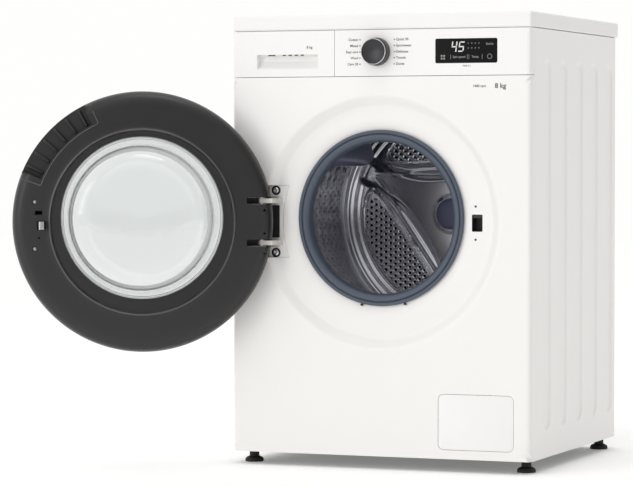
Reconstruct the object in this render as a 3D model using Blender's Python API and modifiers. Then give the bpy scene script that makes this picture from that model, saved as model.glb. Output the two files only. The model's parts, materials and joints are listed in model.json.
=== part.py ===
"""Front load washing machine, as a Blender 4.5 model.

Metres, +Z up. The machine is laid out in cabinet coordinates: x is across, 0 on the centre plane; y runs
back from the front panel's face, which is y = 0; z is the height above the floor. The last step moves the
whole machine so that the origin lies at the bottom centre of its bounding box, with the door wide open.
"""

import bmesh
import bpy
from math import acos, asin, atan2, cos, hypot, pi, radians, sin, sqrt

from mathutils import Matrix, Vector

# ---------------------------------------------------------------- driving dimensions
GAP = 0.0005             # clearance between pieces that seat on each other
SHEET = 0.0012           # steel sheet of the casing

WIDTH = 0.600
CABINET_DEPTH = 0.556    # front face to the rear of the side walls
WORKTOP_DEPTH = 0.578
FOOT_HEIGHT = 0.024      # casing above the floor, feet screwed out by 9 mm
PANEL_BOTTOM = 0.741     # seam under the control panel
PANEL_TOP = 0.829        # seam under the worktop
WORKTOP_HEIGHT = 0.030
FRONT_RETURN = 0.020     # how far the front panel wraps round the corner
CORNER_RADIUS = 0.008

DOOR_Z = 0.466           # axis of the door ring and of the dish in the front panel
DRUM_Z = 0.474           # axis of the drum, gasket and door glass
DOOR_RADIUS = 0.248
DOOR_THICKNESS = 0.051   # how far the closed door stands out of the front panel
DOOR_OPEN = radians(158) # opening angle at the hinge stop
DISH_RADIUS = 0.240
DISH_FLOOR_RADIUS = 0.222
DISH_DEPTH = 0.012
MOUTH_RADIUS = 0.163     # hole in the front panel
COLLAR_DEPTH = 0.012

PIN_X = -0.227           # hinge pin
PIN_Y = -0.028
PIN_RADIUS = 0.004
ARM_Z = 0.040            # hinge arms above and below the door's axis
ARM_THICKNESS = 0.009
ARM_REACH = 0.024        # pin to the middle of the arm's leg
ARM_WIDTH = 0.006
HINGE_HALF = 0.069       # half height of the hinge bracket's window
HINGE_SCREW_X = -0.2147
HINGE_SCREW_Z = 0.0595

HOOK_X = 0.191
HOOK_Z = 0.4595          # middle of the hook, a little below the middle of its slot
HOOK_WIDTH = 0.015       # height of the hook along z
HOOK_REACH = 0.024       # how far the hook stands out of the door's inner face
SLOT_WIDTH = 0.021
SLOT_HEIGHT = 0.032

DOOR_SPLIT = -0.0295     # y of the joint between the door's two rings
GLASS_SEAT = 0.1538      # inner edge of the door's inner ring
GLASS_DEPTH = 0.096      # nose of the glass bowl, behind the front panel's face
GLASS_WALL = 0.004
WINDOW_RADIUS = 0.186
DOOR_WALL = 0.0025
HAND_ANGLES = (23, 63)   # finger recess in the rim, degrees above the horizontal on the free side

DRUM_RADIUS = 0.240
DRUM_FRONT = 0.104
DRUM_BACK = 0.434
DRUM_WALL = 0.0015
DRUM_MOUTH = 0.180
LIFTER_ANGLES = (26, 146, 266)
LIFTER_HEIGHT = 0.052
LIFTER_LENGTH = 0.270

TUB_RADIUS = 0.262
TUB_FRONT = 0.079
TUB_SPLIT = 0.130
TUB_BACK = 0.459
TUB_WALL = 0.004
TUB_MOUTH = 0.176
TUB_TRAVEL = 0.010       # the suspension's travel each way

SHAFT_RADIUS = 0.0125
BEARING_RADII = (0.031, 0.026)
BEARING_WIDTH = 0.016
STATOR_RADIUS = 0.118
ROTOR_RADIUS = 0.138

SPRING_X = 0.232
SPRING_Y = 0.330
SPRING_RADIUS = 0.011
SPRING_WIRE = 0.0016
DAMPER_LEAN = radians(18)
DAMPER_Y = 0.285
DAMPER_RADIUS = 0.014

DRAWER_RIGHT = -0.0905   # seam between the drawer front and the control panel
DRAWER_HEIGHT = 0.044
DRAWER_LENGTH = 0.250
GRIP_X = (-0.249, -0.124)
GRIP_Z = (0.756, 0.784)
GRIP_DEPTH = 0.018

KNOB_X = -0.004
KNOB_Z = 0.787
KNOB_RADIUS = 0.0268
KNOB_FACE_RADIUS = 0.0238
KNOB_STANDS_OUT = 0.022
WINDOW_X = (0.112, 0.234)
WINDOW_Z = (0.764, 0.810)

FLAP_X = (0.118, 0.267)
FLAP_Z = (0.041, 0.146)
FLAP_CORNER = 0.011
FLAP_THICKNESS = 0.003

FOOT_X = 0.276
FOOT_Y = (0.050, 0.528)
FOOT_PAD_RADIUS = 0.018
FOOT_STEM_RADIUS = 0.006

RIB_COUNT = 5
RIB_FIRST = 0.074        # front edge of the first pressed rib in the side walls
RIB_PITCH = 0.103
RIB_WIDTH = 0.050
RIB_BOTTOM = 0.074
RIB_TOP = 0.774
RIB_DEPTH = 0.0025
RIB_SLOPE = 0.009

SPRING_TOP = 0.790
SPRING_BOTTOM = 0.640
VALVE_X = 0.205
VALVE_Z = 0.779
VALVE_RADIUS = 0.013
DRAIN_RADIUS = 0.010
DRAIN_EXIT = (0.250, 0.5540, 0.745)
PUMP_X = (FLAP_X[0] + FLAP_X[1]) / 2
PUMP_Z = (FLAP_Z[0] + FLAP_Z[1]) / 2
SUMP = (0.160, 0.170)    # x and y of the sump outlet under the tub
HEATER_SPREAD = 0.022    # half the distance between the heater's legs
TRAY_X = (-0.275, -0.105)
TRAY_Z = 0.748
HOUSING_X = (-0.283, -0.097)
HOUSING_Z = (0.743, 0.7985)
SPOUT = (-0.190, 0.262)  # x and y of the dispenser's outlet
TUB_INLET_TOP = 0.7080   # top of the tub's filler neck
SUMP_BOTTOM = 0.2380     # end of the tub's sump outlet
GASKET_WALL = 0.0022
HEATER_Z = DRUM_Z - 0.2478
SPIDER_ANGLES = (35, 155, 275)

AROUND = 24              # facets round the large turned pieces
AROUND_SMALL = 12
ROUND = 32               # facets round the pieces seen at the front

TOP = PANEL_TOP + WORKTOP_HEIGHT
HALF = WIDTH / 2
INSIDE = HALF - SHEET    # inner face of the side walls


# ---------------------------------------------------------------- modelling helpers
def clear_scene():
    """Remove whatever the file already holds, and make the two collections."""
    for old in list(bpy.data.objects):
        bpy.data.objects.remove(old, do_unlink=True)
    made = []
    for name in ("washing_machine", "cutters"):
        collection = bpy.data.collections.new(name)
        bpy.context.scene.collection.children.link(collection)
        made.append(collection)
    return made


MACHINE, CUTTERS = clear_scene()


def paint(name, colour, roughness, metallic=0.0, alpha=1.0):
    """A Principled material."""
    material = bpy.data.materials.new(name)
    material.use_nodes = True
    shader = material.node_tree.nodes["Principled BSDF"]
    shader.inputs["Base Color"].default_value = (*colour, 1.0)
    shader.inputs["Roughness"].default_value = roughness
    shader.inputs["Metallic"].default_value = metallic
    shader.inputs["Alpha"].default_value = alpha
    return material


WHITE_ENAMEL = paint("white_enamel", (0.86, 0.85, 0.84), 0.35)
WHITE_PLASTIC = paint("white_plastic", (0.88, 0.87, 0.86), 0.40)
BLACK_PLASTIC = paint("black_plastic", (0.022, 0.022, 0.022), 0.45)
GREY_PLASTIC = paint("grey_plastic", (0.45, 0.46, 0.47), 0.50)
BLACK_GLOSS = paint("black_gloss", (0.006, 0.006, 0.007), 0.08)
CLEAR_GLASS = paint("clear_glass", (0.92, 0.94, 0.94), 0.02, 0.0, 0.35)
STAINLESS = paint("stainless", (0.62, 0.62, 0.64), 0.22, 1.0)
ZINC = paint("zinc_steel", (0.58, 0.58, 0.56), 0.38, 1.0)
DARK_STEEL = paint("dark_steel", (0.10, 0.10, 0.10), 0.45, 1.0)
CAST_ALUMINIUM = paint("cast_aluminium", (0.52, 0.53, 0.54), 0.50, 1.0)
CONCRETE = paint("concrete", (0.42, 0.41, 0.39), 0.90)
GASKET_RUBBER = paint("gasket_rubber", (0.16, 0.19, 0.22), 0.55)
BLACK_RUBBER = paint("black_rubber", (0.025, 0.025, 0.025), 0.70)
BOARD_GREEN = paint("board_green", (0.02, 0.14, 0.06), 0.50)


def finish(obj, name, material, smooth=True):
    """Name a piece, colour it, shade it and file it with the machine's parts."""
    obj.name = name
    obj.data.name = name
    obj.data.materials.clear()
    obj.data.materials.append(material)
    for collection in list(obj.users_collection):
        collection.objects.unlink(obj)
    MACHINE.objects.link(obj)
    bpy.context.view_layer.update()
    for modifier in obj.modifiers:
        if modifier.type == "BOOLEAN":
            modifier.object.parent = obj
            modifier.object.matrix_parent_inverse = obj.matrix_world.inverted()
    if smooth and obj.type == "MESH":
        obj.data.shade_smooth()
        obj.data.set_sharp_from_angle(angle=radians(35))
    return obj


def helper(obj):
    """File an object as a cutter: drawn as a wire and never rendered."""
    for collection in list(obj.users_collection):
        collection.objects.unlink(obj)
    CUTTERS.objects.link(obj)
    obj.hide_render = True
    obj.display_type = "WIRE"
    return obj


def mesh_object(name, fill):
    """A mesh object whose bmesh is filled by fill(bm)."""
    bm = bmesh.new()
    fill(bm)
    mesh = bpy.data.meshes.new(name)
    bm.to_mesh(mesh)
    bm.free()
    obj = bpy.data.objects.new(name, mesh)
    bpy.context.scene.collection.objects.link(obj)
    return obj


def block(name, low, high, bevel=0.0, segments=1):
    """A box from its lowest corner to its highest, its edges bevelled."""
    size = [b - a for a, b in zip(low, high)]
    centre = [(a + b) / 2 for a, b in zip(low, high)]

    def fill(bm):
        bmesh.ops.create_cube(bm, size=1.0)
        bmesh.ops.scale(bm, vec=size, verts=bm.verts)

    obj = mesh_object(name, fill)
    obj.location = centre
    if bevel:
        modifier = obj.modifiers.new("round_edges", "BEVEL")
        modifier.width = bevel
        modifier.segments = segments
        modifier.limit_method = "ANGLE"
    return obj


def lay(obj, axis):
    """Turn an object built along +Z so that it lies along x, y or z."""
    if axis == "y":
        obj.rotation_euler = (-pi / 2, 0, 0)
    elif axis == "x":
        obj.rotation_euler = (0, pi / 2, 0)
    return obj


def rod(name, radius, start, length, axis="z", far_radius=None, around=AROUND_SMALL):
    """A cylinder or cone that starts at a point and runs along an axis."""
    far_radius = radius if far_radius is None else far_radius

    def fill(bm):
        bmesh.ops.create_cone(bm, cap_ends=True, segments=around, radius1=radius,
                              radius2=far_radius, depth=length)
        bmesh.ops.translate(bm, vec=(0, 0, length / 2), verts=bm.verts)

    obj = lay(mesh_object(name, fill), axis)
    obj.location = start
    return obj


def area_of(points):
    """Signed area of a closed outline."""
    pairs = zip(points, points[1:] + points[:1])
    return sum(a[0] * b[1] - b[0] * a[1] for a, b in pairs) / 2


def turned(name, profile, centre, axis="y", around=AROUND):
    """A turned piece. The profile's points are (radius, distance along the axis from the centre).

    The profile is a closed loop, or it starts and ends on the axis.
    """
    points = list(profile)
    solid_core = abs(points[0][0]) < 1e-9 and abs(points[-1][0]) < 1e-9
    if area_of(points) > 0:
        points.reverse()

    def fill(bm):
        verts = [bm.verts.new((radius, 0, along)) for radius, along in points]
        for a, b in zip(verts, verts[1:]):
            bm.edges.new((a, b))
        if not solid_core:
            bm.edges.new((verts[-1], verts[0]))

    obj = mesh_object(name, fill)
    screw = obj.modifiers.new("turn", "SCREW")
    screw.steps = around
    screw.render_steps = around
    screw.use_merge_vertices = True
    screw.merge_threshold = 0.00005
    screw.use_smooth_shade = True
    lay(obj, axis)
    obj.location = centre
    return obj


def slab(name, outline, thickness, start, axis="y"):
    """A flat plate of a closed outline: (x, z) for a plate along y, (x, y) along z, (y, z) along x."""
    curve = bpy.data.curves.new(name, "CURVE")
    curve.dimensions = "2D"
    curve.fill_mode = "BOTH"
    curve.extrude = thickness / 2
    spline = curve.splines.new("POLY")
    spline.points.add(len(outline) - 1)
    for point, (u, v) in zip(spline.points, outline):
        point.co = {"y": (u, -v, 0, 1), "z": (u, v, 0, 1), "x": (-v, u, 0, 1)}[axis]
    spline.use_cyclic_u = True
    obj = bpy.data.objects.new(name, curve)
    bpy.context.scene.collection.objects.link(obj)
    lay(obj, axis)
    middle = start + thickness / 2
    obj.location = [middle if letter == axis else 0 for letter in "xyz"]
    return as_mesh(obj)


def tube(name, points, radius, sides=2):
    """A round hose, wire or rod along a line of points."""
    curve = bpy.data.curves.new(name, "CURVE")
    curve.dimensions = "3D"
    curve.bevel_depth = radius
    curve.bevel_resolution = sides
    curve.use_fill_caps = True
    spline = curve.splines.new("POLY")
    spline.points.add(len(points) - 1)
    for point, place in zip(spline.points, points):
        point.co = (*place, 1)
    obj = bpy.data.objects.new(name, curve)
    bpy.context.scene.collection.objects.link(obj)
    return obj


def as_mesh(obj):
    """The evaluated curve or modified mesh as a plain mesh object in the same place."""
    bpy.context.view_layer.update()
    graph = bpy.context.evaluated_depsgraph_get()
    mesh = bpy.data.meshes.new_from_object(obj.evaluated_get(graph))
    bm = bmesh.new()
    bm.from_mesh(mesh)
    bmesh.ops.remove_doubles(bm, verts=bm.verts, dist=0.00002)
    bm.to_mesh(mesh)
    bm.free()
    made = bpy.data.objects.new(obj.name, mesh)
    made.matrix_world = obj.matrix_world
    bpy.context.scene.collection.objects.link(made)
    bpy.data.objects.remove(obj, do_unlink=True)
    return made


def combine(obj, other, operation):
    """Add a Boolean that cuts or joins another solid."""
    modifier = obj.modifiers.new(operation.lower(), "BOOLEAN")
    modifier.operation = operation
    modifier.solver = "EXACT"
    modifier.object = helper(other)
    return obj


def cut(obj, *cutters):
    """Cut each cutter from a piece."""
    for cutter in cutters:
        combine(obj, cutter, "DIFFERENCE")
    return obj


def join(obj, *others):
    """Join other solids to a piece, as one casting or moulding."""
    for other in others:
        combine(obj, other, "UNION")
    return obj


def smooth_route(points, per_span):
    """Points on a smooth curve through the given ones (Catmull-Rom)."""
    places = [Vector(p) for p in points]
    padded = [2 * places[0] - places[1], *places, 2 * places[-1] - places[-2]]
    made = []
    for a, b, c, d in zip(padded, padded[1:], padded[2:], padded[3:]):
        for step in range(per_span):
            t = step / per_span
            made.append(0.5 * (2 * b + (c - a) * t + (2 * a - 5 * b + 4 * c - d) * t * t
                               + (3 * b - a - 3 * c + d) * t ** 3))
    return made + [places[-1]]


def band(line, thickness):
    """Closed section of a sheet: an open line and the same line moved to its left by a thickness."""
    far = []
    for k, (u, v) in enumerate(line):
        before = Vector(line[k]) - Vector(line[k - 1]) if k else None
        after = Vector(line[k + 1]) - Vector(line[k]) if k < len(line) - 1 else None
        normals = [Vector((-d.y, d.x)).normalized() for d in (before, after) if d is not None]
        middle = sum(normals, Vector((0, 0)))
        middle *= thickness * len(normals) / middle.length_squared
        far.append((u + middle.x, v + middle.y))
    return list(line) + far[::-1]


def hose(name, points, radius, wall, sides=1):
    """A hollow bent hose through a line of points."""
    curve = tube(name, points, radius, sides)
    curve.data.use_fill_caps = False
    pipe = as_mesh(curve)
    shell = pipe.modifiers.new("wall", "SOLIDIFY")
    shell.thickness = wall
    shell.offset = -1.0
    return pipe


def rounded_rectangle(x, z, radius, per_corner=4):
    """Outline of a rectangle from x[0], z[0] to x[1], z[1] with round corners."""
    corners = ((x[1], z[1], 0), (x[0], z[1], 90), (x[0], z[0], 180), (x[1], z[0], 270))
    made = []
    for cx, cz, first in corners:
        mx = cx - radius if cx == x[1] else cx + radius
        mz = cz - radius if cz == z[1] else cz + radius
        for step in range(per_corner + 1):
            angle = radians(first + 90 * step / per_corner)
            made.append((mx + radius * cos(angle), mz + radius * sin(angle)))
    return made


def sector(inner, outer, centre_z, first, last, steps):
    """Outline of a ring sector round the machine's centre plane, angles in degrees from +x."""
    angles = [radians(first + (last - first) * k / steps) for k in range(steps + 1)]
    far = [(outer * cos(a), centre_z + outer * sin(a)) for a in angles]
    near = [(inner * cos(a), centre_z + inner * sin(a)) for a in reversed(angles)]
    return far + near


def joint_frame(name, place):
    """An empty on a joint's axis, the parent of the pieces that move together."""
    empty = bpy.data.objects.new(name, None)
    empty.location = place
    empty.empty_display_size = 0.03
    MACHINE.objects.link(empty)
    return empty


def attach(frame, *pieces):
    """Parent pieces to an empty and leave them where they are."""
    bpy.context.view_layer.update()
    for piece in pieces:
        world = piece.matrix_world.copy()
        piece.parent = frame
        piece.matrix_parent_inverse = frame.matrix_world.inverted()
        piece.matrix_world = world


# ---------------------------------------------------------------- casing
def make_base_tray():
    """Pressed pan that carries the feet, the pump and the dampers."""
    edge = INSIDE - 0.004
    low, high = (-edge, 0.024, FOOT_HEIGHT), (edge, CABINET_DEPTH - 0.006, FOOT_HEIGHT + 0.024)
    tray = block("base_tray", low, high)
    wall = 0.002
    hollow = block("tray_hollow", (low[0] + wall, low[1] + wall, low[2] + wall),
                   (high[0] - wall, high[1] - wall, high[2] + 0.01))
    cut(tray, hollow)
    for x in (-FOOT_X, FOOT_X):
        for y in FOOT_Y:
            cut(tray, rod("foot_hole", FOOT_STEM_RADIUS + GAP, (x, y, FOOT_HEIGHT - 0.01), 0.03))
    return finish(tray, "base_tray", ZINC)


def make_cabinet():
    """One bent sheet: both side walls with their pressed ribs, the rear frame and the front flanges."""
    flange = 0.016
    ribs = [RIB_FIRST + k * RIB_PITCH for k in range(RIB_COUNT)]
    side = [FRONT_RETURN + GAP]
    for start in ribs:
        side += [start, start + RIB_SLOPE, start + RIB_WIDTH - RIB_SLOPE, start + RIB_WIDTH]
    side.append(CABINET_DEPTH)
    rear = [-0.215, -0.07, 0.07, 0.215]
    along = [("flange", -1)] + [("left", y) for y in side] + [("rear", x) for x in rear]
    along += [("right", y) for y in reversed(side)] + [("flange", 1)]
    heights = [FOOT_HEIGHT, RIB_BOTTOM, RIB_BOTTOM + 2 * RIB_SLOPE, 0.110, 0.690,
               RIB_TOP - 2 * RIB_SLOPE, RIB_TOP, PANEL_TOP - GAP]

    def pressed(y, z):
        """How far the sheet is pressed inwards at a point of a side wall."""
        in_rib = any(s + 0.5 * RIB_SLOPE < y < s + RIB_WIDTH - 0.5 * RIB_SLOPE for s in ribs)
        return RIB_DEPTH if in_rib and RIB_BOTTOM < z < RIB_TOP else 0.0

    def place(kind, value, z):
        if kind == "flange":
            return value * (HALF - flange), FRONT_RETURN + GAP, z
        if kind == "rear":
            return value, CABINET_DEPTH, z
        away = HALF - pressed(value, z)
        return (-away if kind == "left" else away), value, z

    def fill(bm):
        bmesh.ops.create_grid(bm, x_segments=len(along) - 1, y_segments=len(heights) - 1, size=1.0)
        opening = []
        for vert in bm.verts:
            column = round((vert.co.x + 1) / 2 * (len(along) - 1))
            row = round((vert.co.y + 1) / 2 * (len(heights) - 1))
            vert.co = place(*along[column], heights[row])
        for face in bm.faces:
            middle = face.calc_center_median()
            if middle.y > CABINET_DEPTH - 1e-6 and abs(middle.x) < 0.215 and 0.110 < middle.z < 0.690:
                opening.append(face)
        bmesh.ops.delete(bm, geom=opening, context="FACES")
        bmesh.ops.reverse_faces(bm, faces=bm.faces)

    obj = mesh_object("cabinet", fill)
    shell = obj.modifiers.new("sheet", "SOLIDIFY")
    shell.thickness = SHEET
    shell.offset = -1.0
    shelf = SPRING_TOP + 0.0005
    for side in (-1, 1):
        low = (side * (INSIDE + 0.0006), SPRING_Y - 0.016, shelf)
        high = (side * (SPRING_X - 0.012), SPRING_Y + 0.016, shelf + 0.004)
        join(obj, block("spring_shelf", [min(a, b) for a, b in zip(low, high)],
                        [max(a, b) for a, b in zip(low, high)]))
    inlet = rod("inlet_hole", VALVE_RADIUS + 0.0015, (VALVE_X, CABINET_DEPTH - 0.02, VALVE_Z), 0.04, "y")
    drain = rod("drain_hole", DRAIN_RADIUS + 0.0015, (*DRAIN_EXIT[:1], CABINET_DEPTH - 0.02, DRAIN_EXIT[2]),
                0.04, "y")
    cut(obj, inlet, drain)
    return finish(obj, "cabinet", WHITE_ENAMEL, smooth=False)


def make_rear_cover():
    """Screwed service cover over the motor, with a round pressed dome."""
    cover = slab("rear_cover", rounded_rectangle((-0.228, 0.228), (0.097, 0.703), 0.012, 2),
                 SHEET, CABINET_DEPTH + GAP)
    dome_rise = 0.010
    dome = turned("cover_dome", [(0.0, dome_rise), (0.150, dome_rise), (0.170, 0.0006), (0.0, 0.0006)],
                  (0, CABINET_DEPTH + GAP, DRUM_Z))
    join(cover, dome)
    hollow = turned("cover_hollow", [(0.0, dome_rise - SHEET), (0.149, dome_rise - SHEET),
                                     (0.169, -0.002), (0.0, -0.002)], (0, CABINET_DEPTH + GAP, DRUM_Z))
    return finish(cut(cover, hollow), "rear_cover", ZINC)


def hinge_window(margin):
    """Outline of the hinge bracket's window: it follows the door's circle on its inner side."""
    inner, left = 0.1995 - margin, -0.2290 - margin
    half = HINGE_HALF + margin
    reach = asin(half / inner)
    arc = [pi - reach + 2 * reach * k / 8 for k in range(9)]
    return ([(inner * cos(a), DOOR_Z + inner * sin(a)) for a in arc]
            + [(left, DOOR_Z - half), (left, DOOR_Z + half)])


def make_front_panel():
    """Enamelled front sheet with the round dish, the mouth's collar and its cut-outs."""
    low, high = (-HALF, 0.0, FOOT_HEIGHT), (HALF, FRONT_RETURN, PANEL_BOTTOM - GAP)
    panel = block("front_panel", low, high)
    corner = panel.modifiers.new("round_corners", "BEVEL")
    corner.width = CORNER_RADIUS
    corner.segments = 3
    corner.limit_method = "WEIGHT"
    weights = panel.data.attributes.new("bevel_weight_edge", "FLOAT", "EDGE")
    for edge in panel.data.edges:
        a, b = (panel.data.vertices[i].co for i in edge.vertices)
        upright = abs(a.x - b.x) < 1e-6 and abs(a.y - b.y) < 1e-6
        weights.data[edge.index].value = 1.0 if upright and a.y < 0 else 0.0
    inner = block("panel_hollow", (low[0] + SHEET, SHEET, low[2] + SHEET),
                  (high[0] - SHEET, high[1] + 0.01, high[2] - SHEET))
    dish_hole = rod("dish_hole", DISH_RADIUS, (0, -0.01, DOOR_Z), 0.014, "y", around=ROUND)
    rim = 0.0004
    dish = turned("dish", [(DISH_RADIUS + 0.003, rim), (DISH_RADIUS - 0.0015, rim),
                           (DISH_FLOOR_RADIUS, DISH_DEPTH), (0.10, DISH_DEPTH),
                           (0.10, DISH_DEPTH + SHEET), (DISH_FLOOR_RADIUS + 0.001, DISH_DEPTH + SHEET),
                           (DISH_RADIUS + 0.003, rim + 0.0012)], (0, 0, DOOR_Z), around=ROUND)
    collar = turned("collar", [(MOUTH_RADIUS + SHEET, DISH_DEPTH + 0.0004),
                               (MOUTH_RADIUS + SHEET, DISH_DEPTH + COLLAR_DEPTH),
                               (MOUTH_RADIUS, DISH_DEPTH + COLLAR_DEPTH),
                               (MOUTH_RADIUS, DISH_DEPTH + 0.0004)], (0, 0, DRUM_Z), around=ROUND)
    mouth = rod("mouth", MOUTH_RADIUS + 0.0003, (0, -0.02, DRUM_Z), 0.06, "y", around=ROUND)
    cut(panel, inner, dish_hole)
    join(panel, dish)
    cut(panel, mouth)
    join(panel, collar)
    lock = block("lock_slot", (HOOK_X - SLOT_WIDTH / 2, -0.02, DOOR_Z - SLOT_HEIGHT / 2),
                 (HOOK_X + SLOT_WIDTH / 2, 0.03, DOOR_Z + SLOT_HEIGHT / 2))
    flap = slab("flap_hole", rounded_rectangle(FLAP_X, FLAP_Z, FLAP_CORNER), 0.03, -0.01)
    hinge = slab("hinge_hole", hinge_window(0.0), 0.05, -0.02)
    cut(panel, lock, flap, hinge)
    return finish(panel, "front_panel", WHITE_ENAMEL)


def make_top_brace():
    """Folded rail across the front, which ties the side walls and carries the worktop's front edge."""
    brace = block("top_brace", (-INSIDE + 0.001, 0.066, PANEL_TOP - 0.028), (INSIDE - 0.001, 0.092, PANEL_TOP - 0.001))
    hollow = block("brace_hollow", (-0.31, 0.068, PANEL_TOP - 0.026), (0.31, 0.094, PANEL_TOP + 0.01))
    return finish(cut(brace, hollow), "top_brace", ZINC)


def make_worktop():
    """Laminated board in a moulded frame: a tray turned upside down over the casing."""
    top = block("worktop", (-HALF, 0.0, PANEL_TOP), (HALF, WORKTOP_DEPTH, TOP), bevel=0.004, segments=2)
    hollow = block("worktop_hollow", (-HALF + 0.008, 0.008, PANEL_TOP - 0.01),
                   (HALF - 0.008, WORKTOP_DEPTH - 0.008, TOP - 0.016))
    return finish(cut(top, hollow), "worktop", WHITE_ENAMEL)


# ---------------------------------------------------------------- control panel and drawer
def fascia(name, left, right, rounded):
    """A hollow strip of the control panel; the named corners are rounded."""
    strip = block(name, (left, 0.0, PANEL_BOTTOM + GAP), (right, FRONT_RETURN, PANEL_TOP - GAP))
    corner = strip.modifiers.new("round_corners", "BEVEL")
    corner.width = CORNER_RADIUS
    corner.segments = 3
    corner.limit_method = "WEIGHT"
    weights = strip.data.attributes.new("bevel_weight_edge", "FLOAT", "EDGE")
    for edge in strip.data.edges:
        a, b = (strip.data.vertices[i].co for i in edge.vertices)
        upright = abs(a.x - b.x) < 1e-6 and abs(a.y - b.y) < 1e-6 and a.y < 0
        weights.data[edge.index].value = 1.0 if upright and a.x * rounded > 0 else 0.0
    return strip


def make_control_panel():
    """Moulded fascia with the openings for the knob and the display, and the frame behind the drawer."""
    wall = 0.0025
    left = DRAWER_RIGHT + 0.001
    panel = fascia("control_panel", left, HALF, 1)
    hollow = block("fascia_hollow", (left + wall, wall, PANEL_BOTTOM + wall),
                   (HALF - wall, FRONT_RETURN + 0.01, PANEL_TOP - wall))
    frame = block("drawer_frame", (-0.2970, FRONT_RETURN + 0.0025, PANEL_BOTTOM + 0.002),
                  (left + wall, FRONT_RETURN + 0.0055, PANEL_TOP - 0.002))
    web = block("frame_web", (left, FRONT_RETURN - 0.002, PANEL_BOTTOM + 0.002),
                (left + wall, FRONT_RETURN + 0.0055, PANEL_TOP - 0.002))
    hatch = block("drawer_hatch", (TRAY_X[0] - 0.002, 0.0, TRAY_Z - 0.002),
                  (TRAY_X[1] + 0.002, 0.05, TRAY_Z + DRAWER_HEIGHT + 0.002))
    stem = rod("stem_hole", 0.0050, (KNOB_X, -0.01, KNOB_Z), 0.02, "y")
    window = slab("window_hole", rounded_rectangle(WINDOW_X, WINDOW_Z, 0.003), 0.02, -0.01)
    cut(panel, hollow)
    join(panel, frame, web)
    cut(panel, hatch, stem, window)
    return finish(panel, "control_panel", WHITE_PLASTIC)


def make_display_window():
    """Dark window of the display, with a lip behind the fascia."""
    inner = [(a + b * GAP, c) for (a, b), c in zip(((WINDOW_X[0], 1), (WINDOW_X[1], -1)), (0, 0))]
    x = (inner[0][0], inner[1][0])
    z = (WINDOW_Z[0] + GAP, WINDOW_Z[1] - GAP)
    pane = slab("display_window", rounded_rectangle(x, z, 0.0025), 0.0032, -0.0002)
    lip = block("window_lip", (WINDOW_X[0] - 0.004, 0.0029, WINDOW_Z[0] - 0.004),
                (WINDOW_X[1] + 0.004, 0.0044, WINDOW_Z[1] + 0.004))
    return finish(join(pane, lip), "display_window", BLACK_GLOSS)


def make_control_board():
    """Circuit board with the knob's encoder and the display module."""
    board = block("control_board", (-0.060, 0.0112, PANEL_BOTTOM + 0.008), (0.262, 0.0128, PANEL_TOP - 0.008))
    encoder = block("encoder", (KNOB_X - 0.0075, 0.0045, KNOB_Z - 0.0075), (KNOB_X + 0.0075, 0.0115, KNOB_Z + 0.0075))
    module = block("module", (WINDOW_X[0] + 0.006, 0.0060, WINDOW_Z[0] + 0.006),
                   (WINDOW_X[1] - 0.006, 0.0115, WINDOW_Z[1] - 0.006))
    relay = block("relay", (0.040, 0.0125, KNOB_Z - 0.012), (0.070, 0.0180, KNOB_Z + 0.012))
    join(board, encoder, module, relay)
    cut(board, rod("encoder_bore", 0.0036, (KNOB_X, 0.003, KNOB_Z), 0.0072, "y"))
    return finish(board, "control_board", BOARD_GREEN, smooth=False)


def make_knob():
    """Programme knob: skirt, dished face and stem, with a rebate for the bright ring."""
    face, skirt = KNOB_FACE_RADIUS, KNOB_RADIUS
    front, back = -KNOB_STANDS_OUT, -GAP
    knob = turned("programme_knob", [
        (0.0, front + 0.0008), (face - 0.002, front + 0.0008), (face, front), (face, front + 0.004),
        (face + 0.002, front + 0.004), (skirt, back - 0.002), (skirt, back), (skirt - 0.002, back),
        (skirt - 0.004, front + 0.006), (0.003, front + 0.006), (0.003, 0.0095), (0.0, 0.0095)],
        (KNOB_X, 0, KNOB_Z), around=AROUND)
    return finish(knob, "programme_knob", BLACK_PLASTIC)


def make_knob_ring():
    """Bright ring pressed round the knob's face."""
    face, front = KNOB_FACE_RADIUS + 0.0003, -KNOB_STANDS_OUT
    ring = turned("knob_ring", [(face, front + 0.0002), (face + 0.0009, front - 0.0003), (face + 0.0018, front + 0.0008),
                                (face + 0.0018, front + 0.0036), (face, front + 0.0036)],
                  (KNOB_X, 0, KNOB_Z), around=AROUND)
    return finish(ring, "knob_ring", STAINLESS)




def make_drawer_front():
    """Drawer front that forms the left end of the control panel, with its scooped grip."""
    front = fascia("drawer_front", -HALF, DRAWER_RIGHT, -1)
    z = GRIP_Z
    scoop = slab("scoop", [(-0.01, z[0]), (0.0, z[0]), (0.009, z[0] + 0.006), (0.0145, z[0] + 0.015),
                           (0.0155, z[1] - 0.003), (0.0135, z[1]), (-0.01, z[1])],
                 GRIP_X[1] - GRIP_X[0], GRIP_X[0], "x")
    wall = 0.0025
    left = block("pocket_left", (-HALF + wall, wall, PANEL_BOTTOM + 0.003),
                 (GRIP_X[0] - wall, 0.03, PANEL_TOP - 0.003))
    right = block("pocket_right", (GRIP_X[1] + wall, wall, PANEL_BOTTOM + 0.003),
                  (DRAWER_RIGHT - wall, 0.03, PANEL_TOP - 0.003))
    above = block("pocket_above", (GRIP_X[0] - 0.0005, wall, z[1] + wall),
                  (GRIP_X[1] + 0.0005, 0.03, PANEL_TOP - 0.003))
    cut(front, scoop, left, right, above)
    return finish(front, "drawer_front", WHITE_PLASTIC)


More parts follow.
